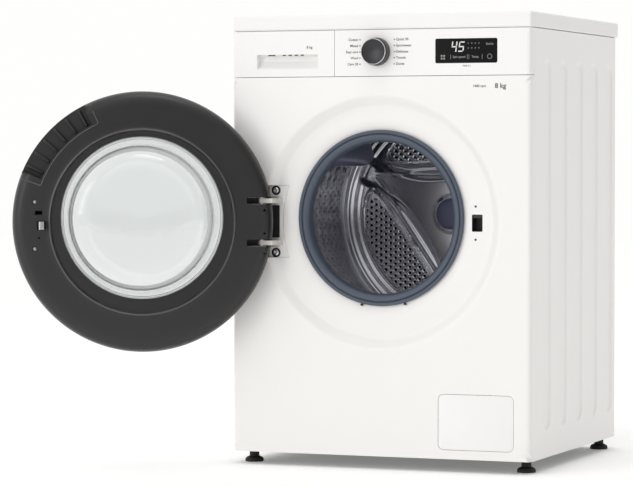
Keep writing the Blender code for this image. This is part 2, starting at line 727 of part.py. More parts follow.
def make_drawer_tray():
    """Detergent tray with three compartments."""
    wall = 0.002
    y = (FRONT_RETURN + GAP, FRONT_RETURN + DRAWER_LENGTH)
    top = TRAY_Z + DRAWER_HEIGHT
    tray = block("drawer_tray", (TRAY_X[0], y[0], TRAY_Z), (TRAY_X[1], y[1], top))
    edges = [TRAY_X[0], -0.216, -0.160, TRAY_X[1]]
    for k in range(3):
        low = (edges[k] + wall / (1 if k == 0 else 2), y[0] + 0.003, TRAY_Z + wall)
        high = (edges[k + 1] - wall / (1 if k == 2 else 2), y[1] - wall, top + 0.01)
        cut(tray, block("compartment", low, high))
    return finish(tray, "drawer_tray", GREY_PLASTIC, smooth=False)


def make_dispenser_housing():
    """Box the tray slides into, with the water inlet behind and the spout below."""
    wall = 0.002
    y = (FRONT_RETURN + 0.008, FRONT_RETURN + DRAWER_LENGTH + 0.022)
    housing = block("dispenser_housing", (HOUSING_X[0], y[0], HOUSING_Z[0]), (HOUSING_X[1], y[1], HOUSING_Z[1]))
    spout = rod("spout", 0.016, (*SPOUT, HOUSING_Z[0] - 0.016), 0.017)
    inlet = rod("inlet", 0.008, (-0.150, y[1] - 0.001, HOUSING_Z[1] - 0.013), 0.015, "y")
    join(housing, spout, inlet)
    hollow = block("housing_hollow", (HOUSING_X[0] + wall, y[0] - 0.01, HOUSING_Z[0] + wall),
                   (HOUSING_X[1] - wall, y[1] - wall, HOUSING_Z[1] - wall))
    bore = rod("spout_bore", 0.014, (*SPOUT, HOUSING_Z[0] - 0.03), 0.04)
    way = rod("inlet_bore", 0.006, (-0.150, y[1] - 0.01, HOUSING_Z[1] - 0.013), 0.04, "y")
    return finish(cut(housing, hollow, bore, way), "dispenser_housing", GREY_PLASTIC)


# ---------------------------------------------------------------- water in and out
def make_inlet_valve():
    """Solenoid inlet valve; its thread passes through the rear wall."""
    body = block("inlet_valve", (VALVE_X - 0.017, 0.505, VALVE_Z - 0.017), (VALVE_X + 0.017, 0.545, VALVE_Z + 0.015))
    thread = rod("thread", VALVE_RADIUS, (VALVE_X, 0.544, VALVE_Z), 0.030, "y")
    coil = rod("coil", 0.014, (VALVE_X, 0.524, VALVE_Z - 0.050), 0.034)
    outlet = rod("outlet", 0.008, (VALVE_X, 0.490, VALVE_Z), 0.016, "y")
    join(body, thread, coil, outlet)
    bore = rod("thread_bore", 0.009, (VALVE_X, 0.550, VALVE_Z), 0.030, "y")
    way = rod("outlet_bore", 0.006, (VALVE_X, 0.480, VALVE_Z), 0.030, "y")
    return finish(cut(body, bore, way), "inlet_valve", GREY_PLASTIC)


def make_fill_hose():
    """Hose from the inlet valve to the back of the dispenser."""
    rear = FRONT_RETURN + DRAWER_LENGTH + 0.0365
    z = HOUSING_Z[1] - 0.013
    route = smooth_route([(VALVE_X, 0.4895, VALVE_Z), (VALVE_X - 0.01, 0.455, VALVE_Z + 0.002), (0.10, 0.420, 0.784),
                          (-0.06, 0.400, 0.786), (-0.140, 0.360, z), (-0.150, rear, z)], 3)
    return finish(hose("fill_hose", route, 0.008, 0.002), "fill_hose", BLACK_RUBBER)


def make_dispenser_hose():
    """Bellows from the dispenser's spout down to the tub."""
    top, bottom = HOUSING_Z[0] - 0.004, TUB_INLET_TOP - 0.012
    inner, outer, count = 0.0168, 0.0200, 4
    line = [(inner + 0.002, top)]
    first, last = top - 0.013, bottom + 0.013
    for k in range(count):
        z = first + (last - first) * (k + 0.5) / count
        step = (first - last) / count / 2
        line += [(inner + 0.002, z + step * 0.6), (outer + 0.002, z), (inner + 0.002, z - step * 0.6)]
    line.append((inner + 0.002, bottom))
    loop = line + [(radius - 0.0018, z) for radius, z in reversed(line)]
    return finish(turned("dispenser_hose", loop, (*SPOUT, 0), "z", AROUND_SMALL), "dispenser_hose", BLACK_RUBBER)


def make_filter_flap():
    """Small door over the pump filter, hinged along its lower edge."""
    gap = 0.0006
    x, z = (FLAP_X[0] + gap, FLAP_X[1] - gap), (FLAP_Z[0] + gap, FLAP_Z[1] - gap)
    flap = slab("filter_flap", rounded_rectangle(x, z, FLAP_CORNER - gap), FLAP_THICKNESS, 0.0)
    return finish(flap, "filter_flap", WHITE_PLASTIC)


def make_pump_housing():
    """Pump and lint filter moulding, with its inlet, outlet and mounting foot."""
    z = PUMP_Z
    body = turned("pump_housing", [(0.0, 0.026), (0.0375, 0.026), (0.0375, 0.030), (0.034, 0.030), (0.031, 0.104),
                                   (0.034, 0.106), (0.034, 0.1260), (0.0, 0.1260)], (PUMP_X, 0, z), around=AROUND_SMALL)
    inlet = rod("inlet", 0.016, (SUMP[0] + 0.02, 0.085, z + 0.020), 0.034)
    outlet = rod("outlet", DRAIN_RADIUS, (PUMP_X + 0.024, 0.116, z), 0.026, "x")
    foot = block("foot", (PUMP_X - 0.030, 0.060, FOOT_HEIGHT + 0.0025), (PUMP_X + 0.030, 0.100, z - 0.0295))
    join(body, inlet, outlet, foot)
    chamber = turned("chamber", [(0.0, 0.020), (0.0290, 0.020), (0.0265, 0.1080), (0.0300, 0.1085), (0.0300, 0.1230),
                                 (0.0080, 0.1230), (0.0080, 0.130), (0.0, 0.130)], (PUMP_X, 0, z), around=AROUND_SMALL)
    inlet_bore = rod("inlet_bore", 0.013, (SUMP[0] + 0.02, 0.085, z + 0.010), 0.06)
    outlet_bore = rod("outlet_bore", DRAIN_RADIUS - 0.002, (PUMP_X + 0.016, 0.116, z), 0.06, "x")
    cut(body, chamber, inlet_bore, outlet_bore)
    return finish(body, "pump_housing", GREY_PLASTIC)


def make_pump_motor():
    """Canned motor behind the pump."""
    y = 0.127
    motor = turned("pump_motor", [(0.0, y), (0.030, y), (0.030, y + 0.006), (0.026, y + 0.008), (0.026, y + 0.048),
                                  (0.022, y + 0.052), (0.0, y + 0.052)], (PUMP_X, 0, PUMP_Z), around=AROUND_SMALL)
    return finish(motor, "pump_motor", DARK_STEEL)


def make_impeller():
    """Four-bladed pump impeller on its shaft."""
    wheel = rod("pump_impeller", 0.005, (PUMP_X, 0.110, PUMP_Z), 0.0165, "y")
    for across in ((0.021, 0.0012), (0.0012, 0.021)):
        join(wheel, block("blade", (PUMP_X - across[0], 0.1105, PUMP_Z - across[1]),
                          (PUMP_X + across[0], 0.1205, PUMP_Z + across[1])))
    return finish(wheel, "pump_impeller", BLACK_PLASTIC)


def make_filter_cap():
    """Screw cap with the lint filter's cage behind it."""
    cap = turned("filter_cap", [(0.0, 0.0155), (0.033, 0.0155), (0.034, 0.017), (0.034, 0.0250), (0.0275, 0.0255),
                                (0.0272, 0.040), (0.022, 0.042), (0.021, 0.098), (0.018, 0.098), (0.019, 0.036),
                                (0.0, 0.036)], (PUMP_X, 0, PUMP_Z), around=AROUND_SMALL)
    grip = block("grip", (PUMP_X - 0.024, 0.0080, PUMP_Z - 0.0035), (PUMP_X + 0.024, 0.0160, PUMP_Z + 0.0035), 0.0015)
    join(cap, grip)
    for side in (-1, 1):
        cut(cap, block("cage_window", (PUMP_X - 0.03, 0.048, PUMP_Z + side * 0.012 - 0.004),
                       (PUMP_X + 0.03, 0.090, PUMP_Z + side * 0.012 + 0.004)))
    return finish(cap, "filter_cap", WHITE_PLASTIC)


def make_sump_hose():
    """Hose from the tub's sump to the pump."""
    top = SUMP_BOTTOM - 0.0018
    x = SUMP[0] + 0.02
    route = smooth_route([(*SUMP, top), (*SUMP, top - 0.025), (SUMP[0] + 0.006, SUMP[1] - 0.022, top - 0.048),
                          (x, 0.094, PUMP_Z + 0.088), (x, 0.0855, PUMP_Z + 0.066), (x, 0.085, PUMP_Z + 0.0570)], 3)
    return finish(hose("sump_hose", route, 0.016, 0.003), "sump_hose", BLACK_RUBBER)


def make_drain_hose():
    """Hose from the pump up to the outlet in the rear wall."""
    start = (PUMP_X + 0.0525, 0.116, PUMP_Z)
    route = smooth_route([start, (start[0] + 0.012, 0.1165, PUMP_Z), (0.274, 0.132, 0.096), (0.280, 0.180, 0.105), (0.280, 0.300, 0.125),
                          (0.281, 0.440, 0.160), (0.280, 0.515, 0.240), (0.272, 0.530, 0.420),
                          (0.258, 0.532, 0.640), (0.250, 0.534, 0.715), (0.250, 0.546, 0.742), (0.250, 0.572, 0.746)], 3)
    return finish(hose("drain_hose", route, DRAIN_RADIUS, 0.002), "drain_hose", BLACK_RUBBER)


# ---------------------------------------------------------------- feet
def make_foot(number, x, y):
    """Levelling foot: rubber-soled pad, hexagon and threaded stem."""
    foot = turned(f"foot_{number}", [(0.0, FOOT_HEIGHT + 0.016), (FOOT_STEM_RADIUS - 0.001, FOOT_HEIGHT + 0.016),
                                     (FOOT_STEM_RADIUS - 0.0002, FOOT_HEIGHT + 0.014),
                                     (FOOT_STEM_RADIUS - 0.0002, FOOT_HEIGHT - GAP),
                                     (0.0095, FOOT_HEIGHT - GAP), (0.0095, 0.011), (FOOT_PAD_RADIUS - 0.002, 0.008),
                                     (FOOT_PAD_RADIUS, 0.005), (FOOT_PAD_RADIUS, 0.001),
                                     (FOOT_PAD_RADIUS - 0.001, 0.0), (0.0, 0.0)],
                  (x, y, 0), "z", AROUND_SMALL)
    return finish(foot, f"foot_{number}", BLACK_RUBBER)


# ---------------------------------------------------------------- door
def on_ring(name, section):
    """A turned piece round the door's axis."""
    return turned(name, section, (0, 0, DOOR_Z), around=ROUND)


def make_inner_ring():
    """Inner half of the door frame: it carries the glass, the hook and the hinge slots."""
    radius, wall = DOOR_RADIUS, DOOR_WALL
    face = [(0.1420, -0.0006), (0.170, -0.0002), (0.1735, 0.0022), (0.1765, 0.0022), (0.180, -0.0002),
            (radius - 0.020, -0.0020), (radius - 0.012, -0.0045), (radius - 0.005, -0.0100),
            (radius - 0.0012, -0.0180), (radius, -0.0250), (radius, DOOR_SPLIT)]
    ring = on_ring("door_inner_frame", band(face, -wall))
    recess = sector(0.2170, radius - 0.0015, DOOR_Z, HAND_ANGLES[0] - 0.8, HAND_ANGLES[1] + 0.8, 8)
    join(ring, slab("recess_wall", recess, 0.0205, -0.0245))
    boss = block("hook_boss", (HOOK_X - 0.011, -0.0265, HOOK_Z - 0.021), (HOOK_X + 0.011, -0.002, HOOK_Z + 0.021))
    join(ring, boss)
    cut(ring, slab("recess", sector(0.2195, radius + 0.012, DOOR_Z, HAND_ANGLES[0], HAND_ANGLES[1], 8), 0.05, -0.0220))
    cut(ring, rod("glass_hole", GLASS_SEAT, (0, -0.03, DRUM_Z), 0.06, "y", around=ROUND))
    cut(ring, block("hook_slot", (HOOK_X - 0.0085, -0.04, HOOK_Z - HOOK_WIDTH / 2 - 0.001),
                    (HOOK_X + 0.0085, 0.02, HOOK_Z + HOOK_WIDTH / 2 + 0.001)))
    cut(ring, rod("hook_pin_hole", 0.0026, (HOOK_X, -0.018, HOOK_Z - 0.0185), 0.037))
    half = ARM_THICKNESS / 2 + 0.002
    for side in (-1, 1):
        z = DOOR_Z + side * ARM_Z
        cut(ring, block("arm_slot", (-0.27, -0.04, z - half), (-0.1985, 0.02, z + half)))
    return finish(ring, "door_inner_frame", BLACK_PLASTIC)


def make_outer_ring():
    """Outer half of the door frame, round the window."""
    radius, face = DOOR_RADIUS, -DOOR_THICKNESS
    section = [(radius, DOOR_SPLIT - GAP), (radius, -0.0350), (radius - 0.0010, -0.0390), (radius - 0.006, face + 0.0060),
               (radius - 0.018, face + 0.0010), (radius - 0.040, face), (WINDOW_RADIUS + 0.004, face),
               (WINDOW_RADIUS, face + 0.0045)]
    ring = on_ring("door_outer_frame", band(section, -DOOR_WALL))
    return finish(ring, "door_outer_frame", BLACK_PLASTIC)


def make_window_cover():
    """Slightly domed outer window of the door."""
    radius, face = WINDOW_RADIUS - 0.0006, -DOOR_THICKNESS
    cover = on_ring("window_cover", [(0.0, face - 0.006), (0.08, face - 0.0048), (0.14, face - 0.0020),
                                     (radius - 0.004, face + 0.0022), (radius, face + 0.0045),
                                     (radius, face + 0.0075), (0.14, face + 0.0010), (0.08, face - 0.0018),
                                     (0.0, face - 0.0030)])
    return finish(cover, "window_cover", BLACK_GLOSS)


def make_glass():
    """Pressed glass bowl, clamped by its flange behind the inner frame."""
    seat, mouth, nose = GLASS_SEAT, MOUTH_RADIUS, GLASS_DEPTH
    outer = [(seat + 0.0047, -0.0040), (seat - 0.0013, -0.0038), (mouth - 0.0190, 0.0060), (mouth - 0.0235, 0.0200),
             (mouth - 0.0285, 0.0450), (mouth - 0.0320, 0.0600), (mouth - 0.0375, 0.0780), (mouth - 0.0460, 0.0890),
             (mouth - 0.0590, nose - 0.001), (mouth - 0.0770, nose), (0.0, nose)]
    inner = [(0.0, nose - GLASS_WALL), (mouth - 0.0780, nose - GLASS_WALL), (mouth - 0.0610, nose - 0.0050),
             (mouth - 0.0490, 0.0860), (mouth - 0.0414, 0.0760), (mouth - 0.0360, 0.0590), (mouth - 0.0325, 0.0440),
             (mouth - 0.0275, 0.0190), (mouth - 0.0230, 0.0040), (seat - 0.0038, -0.0084), (seat + 0.0047, -0.0084)]
    return finish(turned("door_glass", outer + inner, (0, 0, DRUM_Z), around=ROUND), "door_glass", CLEAR_GLASS)


def arm_outline(grow=0.0):
    """Outline (x, y) of a hinge arm: a leg out of the front panel and an eye round the pin."""
    leg, half = PIN_X + ARM_REACH, ARM_WIDTH / 2 + grow
    eye = 0.0072 + grow
    around = [radians(75 + 30 * k) for k in range(7)]
    turn = [(PIN_X + eye * cos(a), PIN_Y + eye * sin(a)) for a in around]
    return [(leg + half, 0.0150), (leg - half, 0.0150), (leg - half, PIN_Y + 0.0058)] + turn + [
        (leg - half + 0.002, PIN_Y - 0.0060), (leg + half, PIN_Y - 0.0010)]


def make_hinge_bracket():
    """Cast bracket behind the front panel; its two arms reach out to the pin."""
    start = DISH_DEPTH + SHEET + GAP
    bracket = slab("hinge_bracket", hinge_window(0.006), 0.0028, start)
    for side in (-1, 1):
        z = DOOR_Z + side * ARM_Z
        arm = slab("arm", arm_outline(), ARM_THICKNESS, z - ARM_THICKNESS / 2, "z")
        join(bracket, arm)
        screw = rod("screw", 0.0055, (HINGE_SCREW_X, start - 0.0028, DOOR_Z + side * HINGE_SCREW_Z), 0.0032, "y")
        join(bracket, screw)
    cut(bracket, rod("pin_bore", PIN_RADIUS + 0.0005, (PIN_X, PIN_Y, DOOR_Z - 0.07), 0.14))
    return finish(bracket, "hinge_bracket", CAST_ALUMINIUM)


def make_hinge_pin():
    """Steel pin through the arms and the door's hinge plate."""
    return finish(rod("hinge_pin", PIN_RADIUS, (PIN_X, PIN_Y, DOOR_Z - 0.057), 0.114), "hinge_pin", STAINLESS)


def make_hinge_plate():
    """Casting inside the door that carries the pin."""
    low, high = (-0.2345, PIN_Y - 0.008, DOOR_Z - 0.058), (-0.165, PIN_Y + 0.008, DOOR_Z + 0.058)
    plate = block("hinge_plate", low, high)
    half = ARM_THICKNESS / 2 + 0.0015
    slot_end = -0.1965
    for side in (-1, 1):
        z = DOOR_Z + side * ARM_Z
        cut(plate, block("arm_way", (-0.26, -0.06, z - half), (slot_end, 0.02, z + half)))
    cut(plate, block("middle", (-0.26, -0.06, DOOR_Z - 0.024), (slot_end, 0.02, DOOR_Z + 0.024)))
    cut(plate, block("pocket", (-0.188, -0.06, DOOR_Z - 0.048), (-0.171, PIN_Y + 0.0045, DOOR_Z + 0.048)))
    cut(plate, rod("pin_bore", PIN_RADIUS + 0.0005, (PIN_X, PIN_Y, DOOR_Z - 0.07), 0.14))
    return finish(plate, "hinge_plate", CAST_ALUMINIUM)


def make_hook():
    """Door hook on its own trunnions."""
    x, y, tip = HOOK_X, -0.018, HOOK_REACH
    outline = [(x - 0.0025, y - 0.004), (x + 0.0025, y - 0.004), (x + 0.0045, y), (x + 0.0025, y + 0.005),
               (x + 0.0025, tip - 0.003), (x, tip), (x - 0.0070, tip - 0.0045), (x - 0.0070, tip - 0.0065),
               (x - 0.0025, tip - 0.0070), (x - 0.0025, y + 0.005), (x - 0.0045, y)]
    hook = slab("door_hook", outline, HOOK_WIDTH, HOOK_Z - HOOK_WIDTH / 2, "z")
    join(hook, rod("trunnion", 0.0020, (x, y, HOOK_Z - 0.017), 0.034))
    return finish(hook, "door_hook", STAINLESS)


def make_door_lock():
    """Door lock behind its slot in the front panel."""
    start = DISH_DEPTH + SHEET + GAP
    lock = block("door_lock", (HOOK_X - 0.024, start, DOOR_Z - 0.046), (HOOK_X + 0.022, 0.044, DOOR_Z + 0.046), 0.001)
    cavity = block("catch_cavity", (HOOK_X - SLOT_WIDTH / 2 - 0.0005, 0.0, DOOR_Z - SLOT_HEIGHT / 2 - 0.0005),
                   (HOOK_X + SLOT_WIDTH / 2 + 0.0005, 0.036, DOOR_Z + SLOT_HEIGHT / 2 + 0.0005))
    cut(lock, cavity)
    slider = block("slider", (HOOK_X - 0.0100, start + 0.0020, DOOR_Z + 0.0095),
                   (HOOK_X + 0.0100, start + 0.0090, DOOR_Z + SLOT_HEIGHT / 2 + 0.001))
    join(lock, slider)
    return finish(lock, "door_lock", BLACK_PLASTIC)


# ---------------------------------------------------------------- tub, drum and motor


def make_gasket():
    """Folded rubber gasket between the front panel's mouth and the tub."""
    mouth, tub = MOUTH_RADIUS, TUB_MOUTH
    line = [(mouth - 0.0042, 0.0240), (mouth - 0.0048, 0.0125), (mouth - 0.0085, 0.0100), (mouth - 0.0140, 0.0120),
            (mouth - 0.0180, 0.0180), (mouth - 0.0200, 0.0250), (mouth - 0.0175, 0.0310), (mouth - 0.0100, 0.0330),
            (mouth - 0.0100, 0.0440), (tub - 0.0100, 0.0490), (tub - 0.0080, 0.0580), (tub - 0.0160, 0.0640),
            (tub - 0.0140, 0.0750), (tub + 0.0035, 0.0750)]
    gasket = turned("gasket", band(line, GASKET_WALL), (0, 0, DRUM_Z), around=ROUND)
    return finish(gasket, "gasket", GASKET_RUBBER)


def make_tub_front():
    """Front half of the tub."""
    radius, wall = TUB_RADIUS, TUB_WALL
    loop = [(TUB_MOUTH, TUB_FRONT), (radius - 0.012, TUB_FRONT + 0.004), (radius, TUB_FRONT + 0.014),
            (radius, TUB_SPLIT - 0.0075), (radius + 0.006, TUB_SPLIT - 0.0075), (radius + 0.006, TUB_SPLIT - GAP / 2),
            (radius - wall, TUB_SPLIT - GAP / 2), (radius - wall, TUB_FRONT + 0.0155),
            (radius - 0.014, TUB_FRONT + 0.0082), (TUB_MOUTH, TUB_FRONT + 0.0042)]
    return finish(turned("tub_front", loop, (0, 0, DRUM_Z)), "tub_front", GREY_PLASTIC)


def damper_points(side):
    """Lower and upper pivot of a damper."""
    top = (side * 0.164, DAMPER_Y, 0.246)
    drop = 0.184
    return (side * (0.164 + drop * sin(DAMPER_LEAN) / cos(DAMPER_LEAN)), DAMPER_Y, top[2] - drop), top


def fork(obj, pivot, reach, towards):
    """Join a fork with its pin to a piece; the fork's ears run from the pivot to another height."""
    for y in (-0.0115, 0.0085):
        low = (pivot[0] - 0.007, pivot[1] + y, min(pivot[2] - 0.006 * reach, towards))
        high = (pivot[0] + 0.007, pivot[1] + y + 0.003, max(pivot[2] - 0.006 * reach, towards))
        join(obj, block("ear", low, high))
    join(obj, rod("pin", 0.0035, (pivot[0], pivot[1] - 0.0100, pivot[2]), 0.020, "y", around=12))


def make_tub_rear():
    """Rear half of the tub with the bearing hub, filler neck, sump, spring lugs and damper forks."""
    radius, wall, back = TUB_RADIUS, TUB_WALL, TUB_BACK
    loop = [(radius + 0.006, TUB_SPLIT + GAP / 2), (radius + 0.006, TUB_SPLIT + 0.0075), (radius, TUB_SPLIT + 0.0075),
            (radius, back - 0.010), (radius - 0.010, back), (0.0445, back), (0.0400, 0.5000), (BEARING_RADII[1] + 0.0004, 0.5000),
            (BEARING_RADII[1] + 0.0004, 0.4835), (0.0200, 0.4835), (0.0200, 0.4760), (BEARING_RADII[0] + 0.0004, 0.4760),
            (BEARING_RADII[0] + 0.0004, 0.4595), (0.0340, 0.4595), (0.0340, 0.4505), (0.0430, 0.4505),
            (0.0470, back - wall), (radius - 0.012, back - wall), (radius - wall, back - 0.012),
            (radius - wall, TUB_SPLIT + GAP / 2)]
    tub = turned("tub_rear", loop, (0, 0, DRUM_Z))
    neck = rod("neck", 0.016, (*SPOUT, TUB_INLET_TOP - 0.070), 0.070)
    sump = rod("sump", 0.016, (*SUMP, SUMP_BOTTOM), 0.040)
    join(tub, neck, sump)
    for side in (-1, 1):
        arm = SPRING_BOTTOM - 0.0005
        join(tub, block("spring_lug", (side * SPRING_X - 0.012, SPRING_Y - 0.016, 0.575),
                        (side * SPRING_X + 0.012, SPRING_Y + 0.016, arm)))
        _, top = damper_points(side)
        fork(tub, top, 1, 0.272)
    hollow = rod("inside", radius - wall - 0.0002, (0, TUB_SPLIT + 0.004, DRUM_Z), back - wall - 0.010 - TUB_SPLIT - 0.004,
                 "y", around=AROUND)
    bores = [rod("neck_bore", 0.0138, (*SPOUT, 0.60), 0.15), rod("sump_bore", 0.0135, (*SUMP, 0.2), 0.09)]
    legs = [rod("heater_hole", 0.0045, (side * HEATER_SPREAD, 0.44, HEATER_Z), 0.03, "y", around=12) for side in (-1, 1)]
    return finish(cut(tub, hollow, *bores, *legs), "tub_rear", GREY_PLASTIC)




def make_heater():
    """Tubular heater under the drum, with its flange on the tub's back wall."""
    bend = [radians(180 + 30 * k) for k in range(7)]
    route = [(-HEATER_SPREAD, 0.4630, HEATER_Z)]
    route += [(HEATER_SPREAD * cos(a), 0.180 + HEATER_SPREAD * sin(a), HEATER_Z) for a in bend]
    route.append((HEATER_SPREAD, 0.4630, HEATER_Z))
    loop = as_mesh(tube("heater", route, 0.0033, 1))
    flange = block("flange", (-0.034, TUB_BACK + GAP, HEATER_Z - 0.010), (0.034, TUB_BACK + 0.004, HEATER_Z + 0.010))
    return finish(join(loop, flange), "heater", STAINLESS)


def make_counterweight():
    """Concrete arc on the front of the tub, below the mouth."""
    arc = slab("counterweight", sector(0.190, 0.254, DRUM_Z, 197, 343, 16), 0.026, TUB_FRONT - 0.0275)
    return finish(arc, "counterweight", CONCRETE)


def make_drum_shell():
    """Stainless cylinder with its rolled front."""
    radius = DRUM_RADIUS
    line = [(DRUM_MOUTH + 0.003, DRUM_FRONT + 0.006), (DRUM_MOUTH, DRUM_FRONT + 0.004), (DRUM_MOUTH, DRUM_FRONT + 0.001),
            (DRUM_MOUTH + 0.003, DRUM_FRONT), (radius - 0.014, DRUM_FRONT + 0.002), (radius - 0.004, DRUM_FRONT + 0.006),
            (radius, DRUM_FRONT + 0.014), (radius, DRUM_BACK - 0.004)]
    return finish(turned("drum_shell", band(line, -DRUM_WALL), (0, 0, DRUM_Z), around=ROUND), "drum_shell", STAINLESS)


def make_drum_back():
    """Back wall of the drum."""
    back = DRUM_BACK
    disc = turned("drum_back", [(0.0, back - 0.0045), (0.036, back - 0.0045), (0.039, back - 0.0020),
                                (DRUM_RADIUS, back - 0.0020), (DRUM_RADIUS, back - 0.0005), (0.0, back - 0.0005)],
                  (0, 0, DRUM_Z), around=ROUND)
    return finish(disc, "drum_back", STAINLESS)


def make_lifter(number, angle):
    """Hollow plastic lifter fixed to the drum's wall."""
    low, high = DRUM_RADIUS - 0.006, DRUM_RADIUS - DRUM_WALL - LIFTER_HEIGHT
    length, half = LIFTER_LENGTH, 0.036
    start = DRUM_FRONT + 0.018

    def fill(bm):
        rows = []
        for depth, wide, trim in ((low, half, 0.0), (low - 0.018, half * 0.62, 0.006),
                                  (high + 0.010, half * 0.36, 0.020), (high, half * 0.18, 0.032)):
            rows.append([bm.verts.new((x, y, depth)) for x, y in (
                (-wide, start + trim), (wide, start + trim), (wide, start + length - trim), (-wide, start + length - trim))])
        bm.faces.new(rows[0])
        bm.faces.new(rows[-1][::-1])
        for a, b in zip(rows, rows[1:]):
            for k in range(4):
                bm.faces.new((a[k - 1], a[k], b[k], b[k - 1]))
        bmesh.ops.recalc_face_normals(bm, faces=bm.faces)

    lifter = mesh_object(f"lifter_{number}", fill)
    soft = lifter.modifiers.new("round_edges", "BEVEL")
    soft.width = 0.004
    soft.segments = 2
    soft.limit_method = "ANGLE"
    soft.angle_limit = radians(25)
    lifter.rotation_euler = (0, radians(90 - angle), 0)
    lifter.location = (0, 0, DRUM_Z)
    return finish(lifter, f"lifter_{number}", GREY_PLASTIC)


def make_spider():
    """Cast three-armed spider behind the drum."""
    y = (DRUM_BACK + 0.0005, 0.4495)
    spider = turned("spider", [(SHAFT_RADIUS + GAP, y[0]), (0.030, y[0]), (0.030, y[1]), (SHAFT_RADIUS + GAP, y[1])], (0, 0, DRUM_Z))
    for angle in SPIDER_ANGLES:
        a = radians(angle)
        along, across = Vector((cos(a), sin(a))), Vector((-sin(a), cos(a)))
        outline = []
        for reach, half in ((0.024, -0.016), (DRUM_RADIUS - 0.008, -0.009), (DRUM_RADIUS - 0.008, 0.009), (0.024, 0.016)):
            point = along * reach + across * half
            outline.append((point.x, DRUM_Z + point.y))
        join(spider, slab("arm", outline, y[1] - y[0] - 0.002, y[0]))
    return finish(spider, "spider", CAST_ALUMINIUM)




def make_shaft():
    """Drum shaft through the bearings."""
    shaft = turned("drum_shaft", [(0.0, DRUM_BACK + 0.0010), (SHAFT_RADIUS, DRUM_BACK + 0.0010), (SHAFT_RADIUS, 0.518),
                                  (SHAFT_RADIUS - 0.001, 0.519), (0.0, 0.519)], (0, 0, DRUM_Z), around=24)
    return finish(shaft, "drum_shaft", STAINLESS)


def make_bearing(name, radius, start):
    """Ball bearing drawn as one ring with shielded faces."""
    end = start + BEARING_WIDTH
    bore = SHAFT_RADIUS + 0.0004
    groove = [(bore + 0.004, start), (bore + 0.005, start + 0.001), (radius - 0.005, start + 0.001), (radius - 0.004, start)]
    loop = [(bore, start), *groove, (radius, start), (radius, end), (bore, end)]
    return finish(turned(name, loop, (0, 0, DRUM_Z)), name, STAINLESS)


def make_shaft_seal():
    """Lip seal in front of the bearings."""
    seal = turned("shaft_seal", [(SHAFT_RADIUS + 0.0004, 0.4530), (0.020, 0.4512), (0.0335, 0.4512), (0.0335, 0.4590),
                                 (0.020, 0.4590), (SHAFT_RADIUS + 0.0004, 0.4560)], (0, 0, DRUM_Z), around=24)
    return finish(seal, "shaft_seal", BLACK_RUBBER)


def make_stator():
    """Stator ring with its wound teeth."""
    teeth, root = 18, STATOR_RADIUS - 0.022
    outline = []
    for k in range(teeth):
        for part, radius in ((0.0, root), (0.22, root), (0.22, STATOR_RADIUS), (0.78, STATOR_RADIUS), (0.78, root)):
            a = 2 * pi * (k + part) / teeth
            outline.append((radius * cos(a), DRUM_Z + radius * sin(a)))
    ring = slab("stator", outline, 0.024, TUB_BACK + 0.004)
    join(ring, rod("foot", 0.080, (0, TUB_BACK + GAP, DRUM_Z), 0.006, "y", around=AROUND))
    cut(ring, rod("bore", 0.0470, (0, 0.40, DRUM_Z), 0.15, "y", around=AROUND))
    return finish(ring, "stator", BLACK_PLASTIC, smooth=False)


def make_rotor():
    """Outer rotor cup with its magnets, on the end of the shaft."""
    inner, outer, back = STATOR_RADIUS + 0.0035, ROTOR_RADIUS, 0.5050
    rotor = turned("rotor", [(inner, 0.4635), (outer, 0.4635), (outer, back - 0.004), (outer - 0.004, back),
                             (0.0240, back), (0.0220, 0.5130), (SHAFT_RADIUS + 0.0004, 0.5130),
                             (SHAFT_RADIUS + 0.0004, 0.5015), (0.100, 0.5015), (inner, 0.4965)], (0, 0, DRUM_Z))
    for k in range(6):
        a = radians(60 * k + 10)
        cut(rotor, rod("vent", 0.013, (0.078 * cos(a), 0.49, DRUM_Z + 0.078 * sin(a)), 0.03, "y", around=8))
    return finish(rotor, "rotor", ZINC)


def make_spring(name, side):
    """Suspension spring between the tub and the casing's shelf."""
    turns, steps = 10, 7
    low, high = SPRING_BOTTOM + SPRING_WIRE + 0.0002, SPRING_TOP - SPRING_WIRE - 0.0002
    route = []
    for k in range(turns * steps + 1):
        a = 2 * pi * k / steps
        part = min(max((k - steps) / ((turns - 2) * steps), 0), 1)
        route.append((side * SPRING_X + SPRING_RADIUS * cos(a), SPRING_Y + SPRING_RADIUS * sin(a),
                      low + (high - low) * part * 0.94 + (high - low) * 0.06 * k / (turns * steps)))
    return finish(as_mesh(tube(name, route, SPRING_WIRE, 0)), name, ZINC)


def aim(obj, start, end):
    """Turn an object built along +Z so that it runs from a start towards an end."""
    direction = Vector(end) - Vector(start)
    obj.rotation_euler = direction.to_track_quat("Z", "Y").to_euler()
    obj.location = start
    return obj


